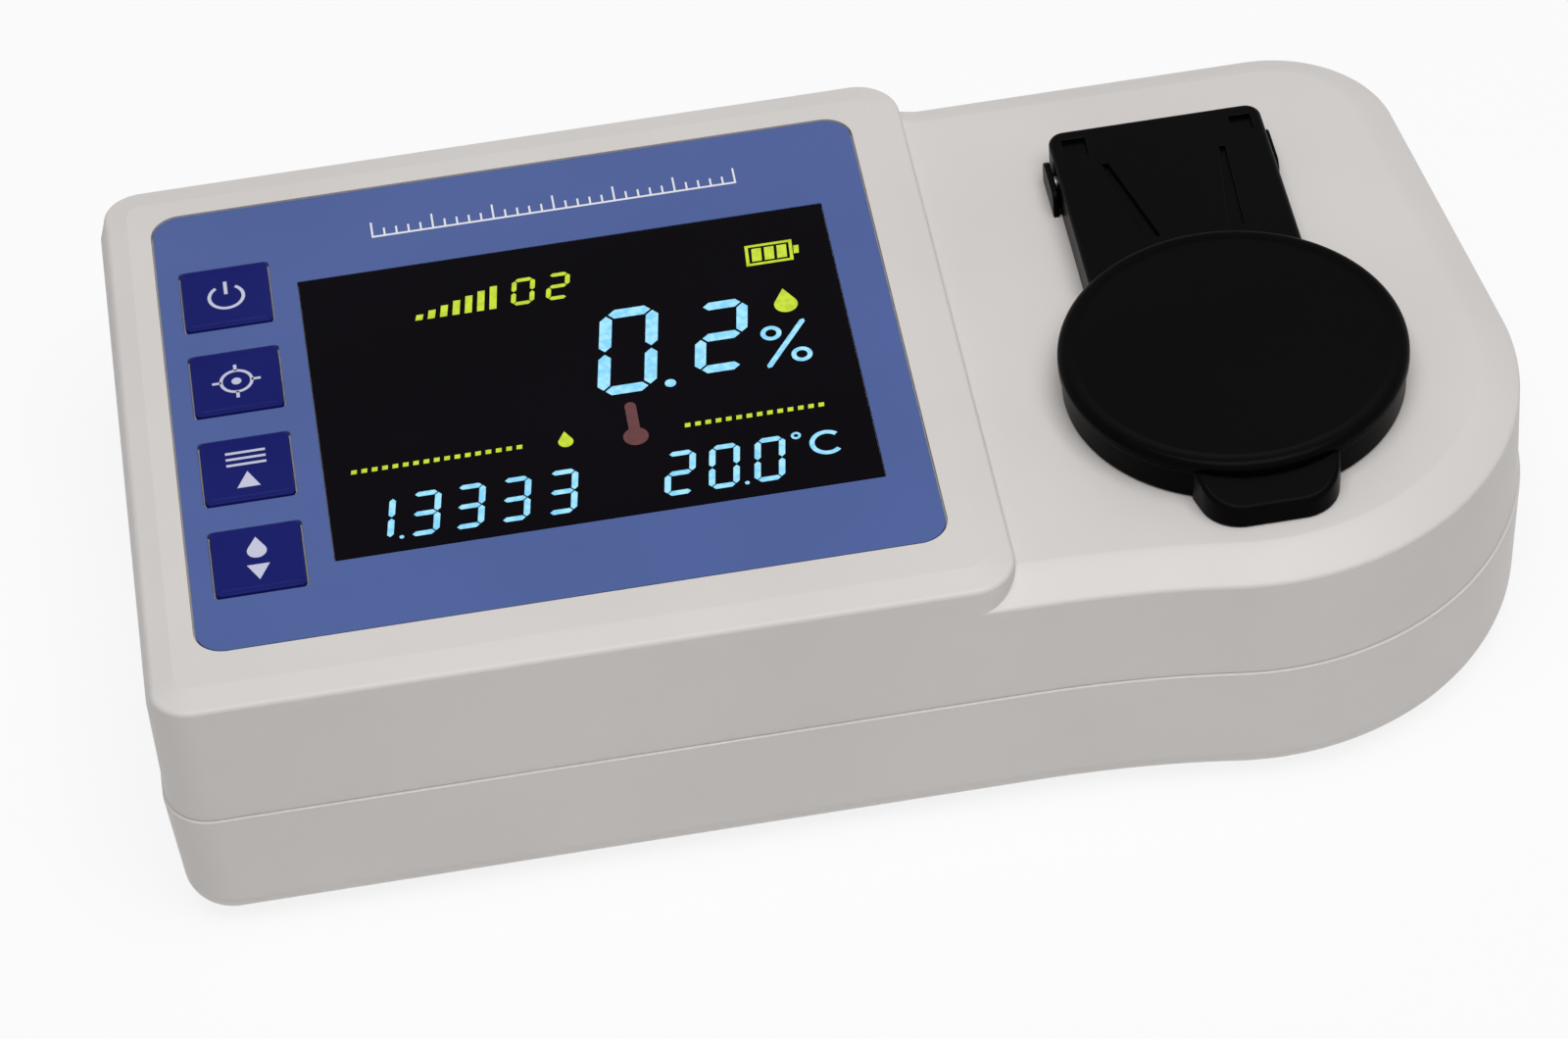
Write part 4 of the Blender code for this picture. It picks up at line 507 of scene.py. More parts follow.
def brushed(name, color, roughness, centre=(0, 0, 0), stretch=(1, 1, 1), scale=800.0, strength=0.2):
    """Metal with a direction: noise that is stretched along the way it was worked."""
    material, shader = finish(name, color, roughness, 1.0)
    marks = grain(material, own_coordinates(material, centre, stretch), scale, 4.0)
    link(material, spread(material, marks, roughness - 0.07, roughness + 0.1), shader.inputs["Roughness"])
    bump(material, shader, marks, strength, 0.00003)
    return material


def turned_metal(name, color, roughness, centre, pitch=0.00035):
    """Metal with fine turning circles: a sine of the distance from the axis, roughened by noise."""
    material, shader = finish(name, color, roughness, 1.0)
    where = own_coordinates(material, centre, (1, 1, 0))
    length = add(material, "ShaderNodeVectorMath")
    length.operation = "LENGTH"
    link(material, where, length.inputs[0])
    wave = maths(material, "SINE", maths(material, "MULTIPLY", length.outputs["Value"], 2 * np.pi / pitch))
    noise = grain(material, where, 2500.0)
    link(material, spread(material, noise, roughness - 0.05, roughness + 0.08), shader.inputs["Roughness"])
    bump(material, shader, maths(material, "ADD", wave, noise), 0.12, 0.00002)
    return material


def circuit(name):
    """Board lacquer over copper: brick-like tracks a shade lighter than the green between."""
    material, shader = finish(name, (0.012, 0.11, 0.04), 0.4)
    where = own_coordinates(material)
    tracks = add(material, "ShaderNodeTexBrick", Scale=260.0)
    tracks.inputs["Mortar Size"].default_value = 0.06
    tracks.inputs["Color1"].default_value = (0.010, 0.10, 0.035, 1)
    tracks.inputs["Color2"].default_value = (0.013, 0.12, 0.042, 1)
    tracks.inputs["Mortar"].default_value = (0.03, 0.2, 0.07, 1)
    link(material, where, tracks.inputs["Vector"])
    link(material, tracks.outputs["Color"], shader.inputs["Base Color"])
    bump(material, shader, tracks.outputs["Fac"], 0.3, 0.00004)
    return material


well_steel = turned_metal("polished_steel", (0.62, 0.62, 0.63), 0.26, WELL_CENTRE)
pin_steel = brushed("pin_steel", (0.30, 0.30, 0.31), 0.34, stretch=(1, 12, 12))
spring_steel = brushed("contact_steel", (0.66, 0.65, 0.62), 0.3, stretch=(1, 1, 14))
zinc = brushed("screw_zinc", (0.56, 0.57, 0.60), 0.36, scale=1500.0)
aluminium = brushed("block_aluminium", (0.52, 0.53, 0.54), 0.38, stretch=(1, 14, 14))
board_green = circuit("circuit_board")
backlight_white = moulded("backlight_plastic", (0.74, 0.74, 0.72), (0.8, 0.8, 0.78), 0.45, 900.0, 0.05)
ribbon_film = moulded("ribbon_film", (0.42, 0.42, 0.43), (0.5, 0.5, 0.5), 0.5, 1200.0, 0.1)
lamp_resin = moulded("lamp_resin", (0.75, 0.55, 0.16), (0.85, 0.66, 0.22), 0.2, 500.0, 0.02)
lcd_glass = moulded("lcd_glass", (0.012, 0.014, 0.016), (0.016, 0.018, 0.02), 0.15, 300.0, 0.01)
optical_glass = moulded("optical_glass", (0.93, 0.96, 0.97), (0.95, 0.98, 0.98), 0.07, 200.0, 0.004,
                        Transmission_Weight=0.85, IOR=1.62)
print("metals and glass ready")

# %% [markdown]
# ## The case in plan
#
# Seen from above, the case is a rectangle on the left and a round nose on the right. The
# front wall runs straight, swells forward in one soft curve and becomes a circle. The
# right side leaves that circle leaning in a little towards the back, and turns round a
# smaller corner. At the back the round end stops three millimetres short of the display
# section. One function gives this outline for any inset, so every wall, edge and hollow
# below comes from the same line.

# %% Case outlines
LEFT, STEP, FRONT, BACK = -104.7, 22.2, -56.4, 59.7
NOSE_X, NOSE_Y, NOSE_RADIUS = 60.5, -15.9, 43.6
END_BACK = 56.7
CORNER, BACK_CORNER = 7.0, 20.0
NOSE_START, LEAN = -100.0, 6.4
SEAM, EDGE, PLATEAU, TOP = 22.7, 40.4, 43.4, 46.0
WALL = 2.2


def left_corners(depth):
    return np.vstack((arc(LEFT + CORNER, BACK - CORNER, CORNER - depth, 90, 180, 20),
                      arc(LEFT + CORNER, FRONT + CORNER, CORNER - depth, 180, 270, 20)))


def display_outline(depth):
    """The raised section: a rectangle with four round corners."""
    return np.vstack((left_corners(depth), arc(STEP - CORNER, FRONT + CORNER, CORNER - depth, 270, 360, 20),
                      arc(STEP - CORNER, BACK - CORNER, CORNER - depth, 0, 90, 20)))


def end_wall(depth):
    """Front swell, nose circle, leaning side, back corner and the short jog at the back."""
    lean = np.radians(LEAN)
    corner_y = END_BACK - BACK_CORNER
    inward = NOSE_RADIUS - BACK_CORNER
    along = (corner_y - NOSE_Y - inward * np.sin(lean)) / np.cos(lean)
    corner_x = NOSE_X + inward * np.cos(lean) - along * np.sin(lean)
    nose = arc(NOSE_X, NOSE_Y, NOSE_RADIUS - depth, NOSE_START, LEAN, 100)
    start = np.radians(NOSE_START)
    end = (STEP - CORNER, BACK - depth)
    front = (STEP, FRONT + depth)
    behind = (STEP + 4.0, END_BACK - depth)
    return np.vstack(((STEP - CORNER, FRONT + depth), front,
                      glide(front, (1, 0), nose[0], (-np.sin(start), np.cos(start)), 26), nose,
                      arc(corner_x, corner_y, BACK_CORNER - depth, LEAN, 90, 40), behind,
                      glide(behind, (-1, 0), end, (-1, 0), 18), end))


def end_outline(depth):
    """The round end, closed by a blunt root inside the display section."""
    root = STEP - 3 * CORNER
    return np.vstack((end_wall(depth), (root, BACK - 3 * CORNER), (root, FRONT + 3 * CORNER)))


def case_outline(depth):
    return np.vstack((end_wall(depth), left_corners(depth)))


print("points round the case:", len(case_outline(0.0)))

# %% [markdown]
# ## The upper case half
#
# The display section rises to a crisp edge, from where a gently sloping band leads up to
# the flat top. Along its left side that edge is cut back in a steep facet three
# millimetres wide. The round end is lower: its flat top falls away to its edge in a band
# six millimetres wide, which bends a little more steeply outwards. Both are stacks of
# insets, joined, hollowed from below, then cut for the panel, the well and the hinge.

# %% Upper case half
SEAM_LINE, EDGE_RADIUS = 0.03, 0.8
TOP_EDGE, TOP_BAND = 45.2, 4.6
FACET_FOOT, FACET_WIDTH = 42.2, 2.9
FACET_FRONT_END, FACET_BACK_END = 14.0, 12.0
FACET_REACH, FACET_BLEND = 9.0, 7.0
END_BAND = 6.4

foot_levels = [(0.06, SEAM + SEAM_LINE), (0.0, SEAM + 0.1)]
display_levels = (foot_levels + [(0.0, SEAM + 1.0)] + crown_levels(FACET_FOOT, TOP_EDGE, EDGE_RADIUS)
                  + [(2.2, 45.5), (TOP_BAND - 0.3, TOP - 0.06), (TOP_BAND, TOP)])


def soft_step(value):
    """Zero below 0, one above 1, and 3 v v - 2 v v v between."""
    value = np.clip(value, 0, 1)
    return value * value * (3 - 2 * value)


def left_facet(rings, levels):
    """Moves the points of the left side inwards. The push grows with height up the facet and
    fades again across the band; it also fades round the two left corners."""
    depth, height = np.array(levels).T
    rise = np.clip((height - FACET_FOOT) / (TOP_EDGE - FACET_FOOT), 0, 1)
    fade = np.clip((TOP_BAND - depth) / (TOP_BAND - EDGE_RADIUS), 0, 1)
    push = ((FACET_WIDTH - EDGE_RADIUS) * rise * fade)[:, None]
    across, along = rings[:, :, 0], rings[:, :, 1]
    ends = soft_step((along - FRONT) / FACET_FRONT_END) * soft_step((BACK - along) / FACET_BACK_END)
    rings[:, :, 0] += push * ends * soft_step((LEFT + FACET_REACH - across) / FACET_BLEND)
    return rings


rings = left_facet(stack(display_outline, display_levels), display_levels)
upper_case = new_piece("upper_case", *skin(rings))

u = np.linspace(0.07, 1.0, 22)
band = np.column_stack((END_BAND * u, EDGE + (PLATEAU - EDGE) * (1 - (1 - u) ** 1.3))).tolist()
edge = [(0.0, EDGE - 0.5), (0.03, EDGE - 0.25), (0.12, EDGE - 0.02), (0.27, EDGE + 0.14)]
join(upper_case, skin(stack(end_outline, foot_levels + edge + band)))

cut(upper_case, skin(stack(display_outline, [(WALL, SEAM - 2), (WALL, TOP - 3.0)])))
cut(upper_case, skin(stack(end_outline, [(WALL, SEAM - 2), (WALL, EDGE - WALL),
                                         (WALL + END_BAND, PLATEAU - WALL)])))
print("upper case faces:", len(upper_case.data.polygons))

# %% [markdown]
# The hinge needs a hollow under the lid's tail, which swings down into it as the lid
# opens. In side view the hollow is part of a circle about the hinge pin, closed in front
# by the flat slope where the open lid comes to rest. Two low black ears hold the pin.

# %% Hinge hollow, ears and openings of the upper half
LID_X, LID_Y, LID_BASE = 60.9, -19.1, 43.7
HINGE_Y, HINGE_Z, OPEN_ANGLE = 27.8, 46.3, 110.0
ARM_X = LID_X - 1.4
HOLLOW_RADIUS, HOLLOW_HALF = 8.77, 17.0
EAR_TOP, EAR_HALF, EAR_CORNER = 47.8, 4.6, 1.8
LEFT_WALL, RIGHT_WALL = ARM_X - HOLLOW_HALF, ARM_X + HOLLOW_HALF

hollow = (LEFT_WALL, HINGE_Y - HOLLOW_RADIUS, RIGHT_WALL, HINGE_Y + HOLLOW_RADIUS)
join(upper_case, box(grown(hollow, WALL), HINGE_Z - HOLLOW_RADIUS - WALL, PLATEAU - 1.1))


def ear(x0, x1):
    """An ear in side view: a low plate with round upper corners, standing on the case."""
    reach = EAR_HALF - EAR_CORNER
    shape = np.vstack((arc(HINGE_Y + reach, EAR_TOP - EAR_CORNER, EAR_CORNER, 0, 90, 10),
                       arc(HINGE_Y - reach, EAR_TOP - EAR_CORNER, EAR_CORNER, 90, 180, 10),
                       ((HINGE_Y - EAR_HALF, PLATEAU), (HINGE_Y + EAR_HALF, PLATEAU))))
    levels = [(0.2, x0), (0.06, x0 + 0.06), (0.0, x0 + 0.2), (0.0, x1 - 0.2), (0.06, x1 - 0.06), (0.2, x1)]
    return lay_along_x(skin(stack(lambda d: inset(shape, d), levels)))


ears = new_piece("hinge_ears", *gather((ear(LEFT_WALL - 1.0, LEFT_WALL), ear(RIGHT_WALL, RIGHT_WALL + 0.55))))
cut(ears, rod_x(HINGE_Y, HINGE_Z, 1.2, LEFT_WALL - 0.72, RIGHT_WALL + 0.35))
place_on(ears, "case", lid_plastic, ("upper_shell",), 30.0)

gap = HINGE_Z - LID_BASE + 0.3
stop = np.radians(-OPEN_ANGLE)
away = np.array((np.cos(stop - np.pi / 2), np.sin(stop - np.pi / 2))) * gap
down = np.array((np.cos(stop), np.sin(stop)))
foot = away + down * np.sqrt(HOLLOW_RADIUS**2 - gap**2)
head = away - down * away[1] / down[1]
sweep = np.vstack((arc(0, 0, HOLLOW_RADIUS, 0, np.degrees(np.arctan2(foot[1], foot[0])), 60), head))
sweep = (sweep + (HINGE_Y, HINGE_Z))[::-1]
cut(upper_case, lay_along_x(straight(sweep, LEFT_WALL, RIGHT_WALL)))
cut(upper_case, rod(LID_X, LID_Y, 16.5, PLATEAU - 5, PLATEAU + 2, 96))

PANEL = (-96.4, -45.3, 13.6, 51.3)
PANEL_CORNER, PANEL_GAP = 4.3, 0.3
RECESS = 44.9
recess = rounded_box(*grown(PANEL, PANEL_GAP), PANEL_CORNER + PANEL_GAP, 16)
cut(upper_case, straight(recess, RECESS, TOP + 2))
place_on(upper_case, "case", case_plastic, ("upper_shell",), 24.0)
print("upper case finished with", len(upper_case.data.polygons), "faces")

# %% [markdown]
# ## The lower case half
#
# The lower half is wider than the upper by less than half a millimetre. That proud rim
# catches the light as a thin bright line under the seam. Its two ends draw in a little
# towards the base, and the wall rolls into the underside with a radius of five
# millimetres. Underneath lie the battery bay with its door recess, the screw holes and the
# shallow seats of the four feet.

# %% Lower case half
PROUD, BASE, ROLL_RADIUS, END_DRAFT = 0.4, 1.5, 5.0, 0.0115
t = np.linspace(np.pi / 2, 0, 12)
roll = np.column_stack((ROLL_RADIUS * (1 - np.cos(t)) - PROUD, BASE + ROLL_RADIUS * (1 - np.sin(t)))).tolist()
rim = SEAM - SEAM_LINE
rim_edge = [(-PROUD, rim - 0.12), (-PROUD + 0.04, rim - 0.03), (-PROUD + 0.13, rim), (0.35, rim)]
rings = stack(case_outline, roll + rim_edge)
rings[:, :, 0] *= 1 - END_DRAFT * (SEAM - rings[:, :, 2]) / (SEAM - BASE)
lower_case = new_piece("lower_case", *skin(rings))
cut(lower_case, skin(stack(case_outline, [(WALL + 2.0, BASE + 3.0), (WALL, BASE + 5.0), (WALL, SEAM + 2)])))

BAY = (-68.65, -27.75, -13.85, 31.05)
BAY_MIDDLE = (BAY[1] + BAY[3]) / 2
BAY_WALL, BAY_CEILING, DOOR_TOP, LEDGE = 3.7, 19.0, 3.9, 2.2
join(lower_case, box(grown(BAY, BAY_WALL), BASE + 1.5, BAY_CEILING + 1.5))
cut(lower_case, box(BAY, BASE - 1, BAY_CEILING))
cut(lower_case, box(grown(BAY, LEDGE + 0.3), BASE - 2, DOOR_TOP + 0.3))

SCREWS = ((-95.5, -47.2), (-95.5, 50.5), (31.4, -47.2), (31.4, 47.5), (86.613, -39.052), (84.7, 41.3))
for x, y in SCREWS:
    join(lower_case, rod(x, y, 4.8, BASE + 1.5, rim, 48))
    cut(lower_case, turned([(0, BASE - 2), (3.3, BASE - 2), (3.3, BASE), (3.0, BASE + 0.3), (3.0, BASE + 4),
                            (1.7, BASE + 4), (1.7, SEAM + 2), (0, SEAM + 2)], x, y, 48))

FEET = {"foot_front_left": (-83.7, -45.9), "foot_back_left": (-83.7, 49.2),
        "foot_front_right": (75.5, -45.7), "foot_back_right": (75.5, 46.2)}
for x, y in FEET.values():
    cut(lower_case, rod(x, y, 6.3, BASE - 2, BASE + 1.0))
cut(lower_case, rod(BAY[2] + LEDGE - 4.5, BAY_MIDDLE, 7.0, BASE - 2, BASE + 0.9))
place_on(lower_case, "case", case_plastic, ("lower_shell",), 24.0)
print("lower case faces:", len(lower_case.data.polygons), "screw holes:", len(SCREWS))

# %% [markdown]
# ## Blue panel, window and keys
#
# The panel is a thin film in a shallow recess, with square openings. A flat curve with
# several closed lines gives such a sheet at once: the outer line is filled and every line
# inside it becomes a hole. A hair of bevel lets the edge catch light.

# %% Panel film
WINDOW = (-75.0, -30.4, 6.5, 31.9)
KEY_X, KEY_WIDTH, KEY_DEPTH, KEY_PITCH, FIRST_KEY = -92.9, 13.5, 13.7, 19.5, -34.5
KEYS = ("key_down", "key_up", "key_calibrate", "key_power")
FILM_TOP = 45.9


def key_box(number):
    """The rectangle of a key, counted from the front."""
    y = FIRST_KEY + KEY_PITCH * number
    return KEY_X, y, KEY_X + KEY_WIDTH, y + KEY_DEPTH


def flat_sheet(name, outlines, bottom, top, edge):
    """A sheet from closed lines, its edges rounded by edge, made a mesh in its place."""
    curve = bpy.data.curves.new(name, "CURVE")
    curve.dimensions, curve.fill_mode = "2D", "BOTH"
    curve.extrude = ((top - bottom) / 2 - edge) * MM
    curve.bevel_depth, curve.offset, curve.bevel_resolution = edge * MM, -edge * MM, 2
    for outline in outlines:
        line = curve.splines.new("POLY")
        line.points.add(len(outline) - 1)
        flat = np.column_stack((outline * MM, np.zeros(len(outline)), np.ones(len(outline))))
        line.points.foreach_set("co", flat.ravel())
        line.use_cyclic_u = True
    holder = bpy.data.objects.new(name, curve)
    bpy.context.scene.collection.objects.link(holder)
    bpy.context.view_layer.update()
    mesh = bpy.data.meshes.new_from_object(holder.evaluated_get(bpy.context.evaluated_depsgraph_get()))
    mesh.transform(Matrix.Translation((0, 0, (top + bottom) / 2 * MM)))
    bpy.data.objects.remove(holder)
    bpy.data.curves.remove(curve)
    piece = bpy.data.objects.new(name, mesh)
    bpy.context.scene.collection.objects.link(piece)
    return piece


lines = [rounded_box(*PANEL, PANEL_CORNER, 16), rounded_box(*grown(WINDOW, 0.12), 0.15, 3)]
lines += [rounded_box(*grown(key_box(number), 0.25), 0.8, 6) for number in range(4)]
film = flat_sheet("panel_film", lines, RECESS + 0.3, FILM_TOP, 0.08)
place_on(film, "case", panel_film, ("keypad_panel",))
print("panel film with", len(lines) - 1, "openings")

# %% [markdown]
# The window is a flat pane whose edge is barely broken. Each key is a low cap with a
# raised rim and a field a tenth of a millimetre lower, as embossed film has. The rim is
# what draws the thin bright line along the front of each key.

# %% Window and keys
levels = [(0.0, RECESS + 0.3), (0.0, FILM_TOP - 0.1), (0.03, FILM_TOP - 0.03), (0.1, FILM_TOP)]
pane = new_piece("display_pane", *skin(stack(lambda d: inset(rounded_box(*WINDOW, 0.15, 3), d), levels)))
place_on(pane, "case", window_acrylic, ("display_window",))

KEY_TOP, KEY_CORNER, FIELD_DROP = 46.2, 0.9, 0.12
rim_drops = ((0.0, 0.7), (0.0, 0.3), (0.06, 0.12), (0.18, 0.03), (0.35, 0.0), (0.75, 0.0), (0.95, 0.03),
             (1.1, 0.09), (1.3, FIELD_DROP))
key_levels = [(depth, KEY_TOP - drop) for depth, drop in rim_drops]
key_middles = [(KEY_X + KEY_WIDTH / 2, key_box(number)[1] + KEY_DEPTH / 2) for number in range(4)]


def key_outline(number, depth):
    """A key's outline, drawn in by a depth; its corners shrink with it."""
    return rounded_box(*grown(key_box(number), -depth), max(KEY_CORNER - depth, 0.05), 8)


for number, name in enumerate(KEYS):
    cap = new_piece(name + "_cap", *skin(stack(lambda d: key_outline(number, d), key_levels)))
    join(cap, rod(*key_middles[number], 2.0, 42.3, KEY_TOP - 0.4, 32))
    place_on(cap, name, key_film, (name,), 40.0)
print("keys:", KEYS)

# %% [markdown]
# ## Marks on the keys
#
# The marks are printed in a pale ink. Each is a thin plate three hundredths of a millimetre
# thick, lying on the key, so it stays crisp from any distance. The keys carry plain signs:
# a power sign, a target, and two arrows, the upper with a small list above it and the
# lower with a drop.

# %% Plates and rings for marks
MARK = 0.03


def plate(outline, z):
    """A thin plate with the given outline, standing on height z."""
    return straight(outline, z, z + MARK)


def hoop(x, y, outer, inner, z, start=0.0, end=360.0, count=40):
    """A flat ring, or part of one between two angles."""
    if end - start >= 360:
        t = np.linspace(0, 2 * np.pi, count, endpoint=False)
        around = np.stack((np.cos(t), np.sin(t)), -1)
        rings = [np.column_stack(((x, y) + r * around, np.full(count, h)))
                 for r, h in ((outer, z), (outer, z + MARK), (inner, z + MARK), (inner, z))]
        return skin(np.array(rings), True)
    return plate(np.vstack((arc(x, y, outer, start, end, count), arc(x, y, inner, end, start, count))), z)


def drop_outline(x, y, size):
    """A drop: a circle below and a tip two radii above its centre, where both sides touch it."""
    radius = size / 3
    return np.vstack((arc(x, y - radius / 2, radius, 150, 390, 26), ((x, y + 1.5 * radius),)))


def bar(x0, y0, x1, y1, lean=0.0):
    """A rectangle whose top is pushed sideways by lean."""
    return np.array(((x0, y0), (x1, y0), (x1 + lean, y1), (x0 + lean, y1)))


ON_KEY = KEY_TOP - FIELD_DROP
x, y = key_middles[3]
power_sign = [hoop(x, y, 2.9, 2.35, ON_KEY, 125, 415, 48),
              plate(bar(x - 0.28, y + 0.6, x + 0.28, y + 3.5), ON_KEY)]
x, y = key_middles[2]
target_sign = [hoop(x, y, 2.6, 2.1, ON_KEY), plate(arc(x, y, 0.75, 0, 350, 24), ON_KEY)]
for away in (-3.0, 3.0):
    target_sign += [plate(bar(x - 0.25, y + away - 0.7, x + 0.25, y + away + 0.7), ON_KEY),
                    plate(bar(x + away - 0.7, y - 0.25, x + away + 0.7, y + 0.25), ON_KEY)]
x, y = key_middles[1]
up_sign = [plate(((x - 1.75, y - 4.0), (x + 1.75, y - 4.0), (x, y - 0.6)), ON_KEY)]
up_sign += [plate(bar(x - 3.0, y + 0.8 + 1.3 * k, x + 3.0, y + 1.3 + 1.3 * k), ON_KEY) for k in range(3)]
x, y = key_middles[0]
down_sign = [plate(((x - 1.7, y - 1.2), (x, y - 4.4), (x + 1.7, y - 1.2)), ON_KEY),
             plate(drop_outline(x, y + 2.4, 4.4), ON_KEY)]
for name, sign in zip(KEYS, (down_sign, up_sign, target_sign, power_sign)):
    mark = new_piece(name + "_mark", *gather(sign))
    place_on(mark, name, key_ink, weighted=False)
print("mark height above the key:", MARK, "mm")

# %% [markdown]
# Above the window the panel carries a plain printed rule with ticks, like the edge of a
# measuring scale: a base line, small ticks, and a taller one at every fifth.

# %% Printed rule on the panel
ON_FILM = FILM_TOP - 0.005
RULE_LEFT, RULE_RIGHT, RULE_LOW, LINE_WIDTH = -62.6, -5.7, 39.6, 0.4
ticks = np.linspace(RULE_LEFT, RULE_RIGHT, 31)
marks = [plate(bar(RULE_LEFT - 0.15, RULE_LOW, RULE_RIGHT + 0.15, RULE_LOW + LINE_WIDTH), ON_FILM)]
for k, tick in enumerate(ticks):
    reach = 3.6 if k % 5 == 0 else 2.0
    marks.append(plate(bar(tick - 0.15, RULE_LOW + LINE_WIDTH, tick + 0.15, RULE_LOW + reach), ON_FILM))
rule = new_piece("printed_rule", *gather(marks))
place_on(rule, "case", white_ink, weighted=False)
print("ticks on the rule:", len(ticks))

# %% [markdown]
# ## The display's figures
#
# Numbers on such a display are built from seven bars with pointed ends, leaning a little
# to the right. One function gives the six corners of a bar; a table says which bars each
# digit lights. The readings are plain: those of nearly pure water at room temperature.

# %% Seven-bar digits
BARS = {"0": "abcdef", "1": "bc", "2": "abged", "3": "abgcd", "4": "fgbc", "5": "afgcd",
        "6": "afgedc", "7": "abc", "8": "abcdefg", "9": "abcdfg"}
SLANT = np.tan(np.radians(8.5))
ON_GLASS = FILM_TOP - 0.005


def bar_between(a, b, thick):
    """A pointed bar from a to b: six corners, its ends drawn in by half its thickness."""
    a, b = np.array(a, float), np.array(b, float)
    way = (b - a) / np.linalg.norm(b - a)
    across = np.array((-way[1], way[0])) * thick / 2
    a, b = a + way * thick * 0.16, b - way * thick * 0.16
    return np.array((a, a + way * thick / 2 - across, b - way * thick / 2 - across, b,
                     b - way * thick / 2 + across, a + way * thick / 2 + across))


def digit(sign, x, y, width, height, thick):
    """Plates for one digit whose lower left corner is at x, y, leaning to the right."""
    h = thick / 2
    corner = {"a": ((h, height - h), (width - h, height - h)),
              "b": ((width - h, height / 2), (width - h, height - h)),
              "c": ((width - h, h), (width - h, height / 2)), "d": ((h, h), (width - h, h)),
              "e": ((h, h), (h, height / 2)), "f": ((h, height / 2), (h, height - h)),
              "g": ((h, height / 2), (width - h, height / 2))}
    plates = []
    for name in BARS[sign]:
        shape = bar_between(*corner[name], thick)
        shape = shape + np.column_stack((shape[:, 1] * SLANT, np.zeros(6))) + (x, y)
        plates.append(plate(shape, ON_GLASS))
    return plates


def point(x, y, size):
    return [plate(arc(x, y, size, 0, 350, 20), ON_GLASS)]


WX, WY = WINDOW[0], WINDOW[1]
cyan = digit("0", WX + 42.0, WY + 26.2, 9.0, 18.8, 1.9) + point(WX + 53.2, WY + 26.9, 0.85)
cyan += digit("2", WX + 57.0, WY + 27.8, 8.0, 15.6, 1.7)
for sign, x in zip("13333", (4.2, 11.0, 17.6, 24.4, 31.4)):
    cyan += digit(sign, WX + x, WY + 2.5, 4.6, 9.2, 0.95)
cyan += point(WX + 10.1, WY + 2.8, 0.35)
for sign, x in zip("200", (49.0, 55.6, 62.4)):
    cyan += digit(sign, WX + x, WY + 2.7, 4.6, 9.2, 0.95)
cyan += point(WX + 61.4, WY + 3.0, 0.35)
print("lit plates so far:", len(cyan))

# %% [markdown]
# Beside the numbers stand a percent sign, a degree sign, and small pictures: a battery
# with three bars, a drop, a thermometer in dull red and a dotted line over each lower
# reading. They are the same thin plates and rings.

# %% Signs beside the numbers
px, py = WX + 67.2, WY + 26.6
cyan += [hoop(px + 2.4, py + 7.9, 1.6, 0.85, ON_GLASS), hoop(px + 6.3, py + 2.3, 1.6, 0.85, ON_GLASS)]
cyan += [plate(bar_between((px + 0.8, py + 0.2), (px + 7.8, py + 10.2), 0.85), ON_GLASS)]
cyan += [hoop(WX + 69.9, WY + 11.4, 0.75, 0.35, ON_GLASS)]
cyan += [hoop(WX + 74.2, WY + 9.0, 2.6, 1.85, ON_GLASS, 45, 315)]
figures = new_piece("lit_figures", *gather(cyan))
place_on(figures, "case", cyan_figures, weighted=False)

green = digit("0", WX + 31.6, WY + 49.4, 3.6, 6.0, 0.75) + digit("2", WX + 37.0, WY + 49.4, 3.6, 6.0, 0.75)
green += [plate(bar(WX + 16.9 + 1.9 * k, WY + 49.4, WX + 18.0 + 1.9 * k, WY + 50.6 + 0.66 * k,
                    0.3 + 0.06 * k), ON_GLASS) for k in range(7)]
bx, by = WX + 68.2, WY + 50.3
green += [plate(bar(bx, by, bx + 7.0, by + 0.5), ON_GLASS),
          plate(bar(bx + 0.4, by + 4.2, bx + 7.4, by + 4.7), ON_GLASS)]
green += [plate(bar(bx, by, bx + 0.5, by + 4.7, 0.3), ON_GLASS),
          plate(bar(bx + 6.8, by, bx + 7.3, by + 4.7, 0.3), ON_GLASS)]
green += [plate(bar(bx + 7.5, by + 1.4, bx + 8.3, by + 3.2, 0.2), ON_GLASS)]
green += [plate(bar(bx + 1.0 + 1.95 * k, by + 0.9, bx + 2.5 + 1.95 * k, by + 3.8, 0.25), ON_GLASS)
          for k in range(3)]
green += [plate(drop_outline(WX + 72.8, WY + 41.4, 5.4), ON_GLASS)]
for x0, x1, y in ((4.0, 30.0, 17.6), (54.0, 75.0, 16.8)):
    green += [plate(bar(WX + x, WY + y, WX + x + 0.85, WY + y + 0.85, 0.1), ON_GLASS)
              for x in np.arange(x0, x1, 1.55)]
green += [plate(drop_outline(WX + 36.2, WY + 18.2, 3.4), ON_GLASS)]
signs = new_piece("lit_signs", *gather(green))
place_on(signs, "case", green_figures, weighted=False)

tx, ty = WX + 46.6, WY + 14.6
neck = np.degrees(np.arccos(0.85 / 1.9))
thermometer = [plate(np.vstack((arc(tx, ty + 1.9, 1.9, 180 - neck, 360 + neck, 30),
                                arc(tx, ty + 8.6, 0.85, 0, 180, 12))), ON_GLASS)]
red = new_piece("lit_thermometer", *gather(thermometer))
place_on(red, "case", red_figure, weighted=False)
print("figures:", len(cyan), "cyan,", len(green), "green,", len(thermometer), "red plates")

# %% [markdown]
# ## The lid
#
# The lid is one black moulding: a round cap with a thick rounded rim, an arm that reaches
# back to the hinge, and a tab for a fingertip at the front. The cap is a turned profile.
# The arm is an outline with a rounded upper edge. The tab's upper face falls away to its
# lip, so its rings take their height from how far forward each point lies.

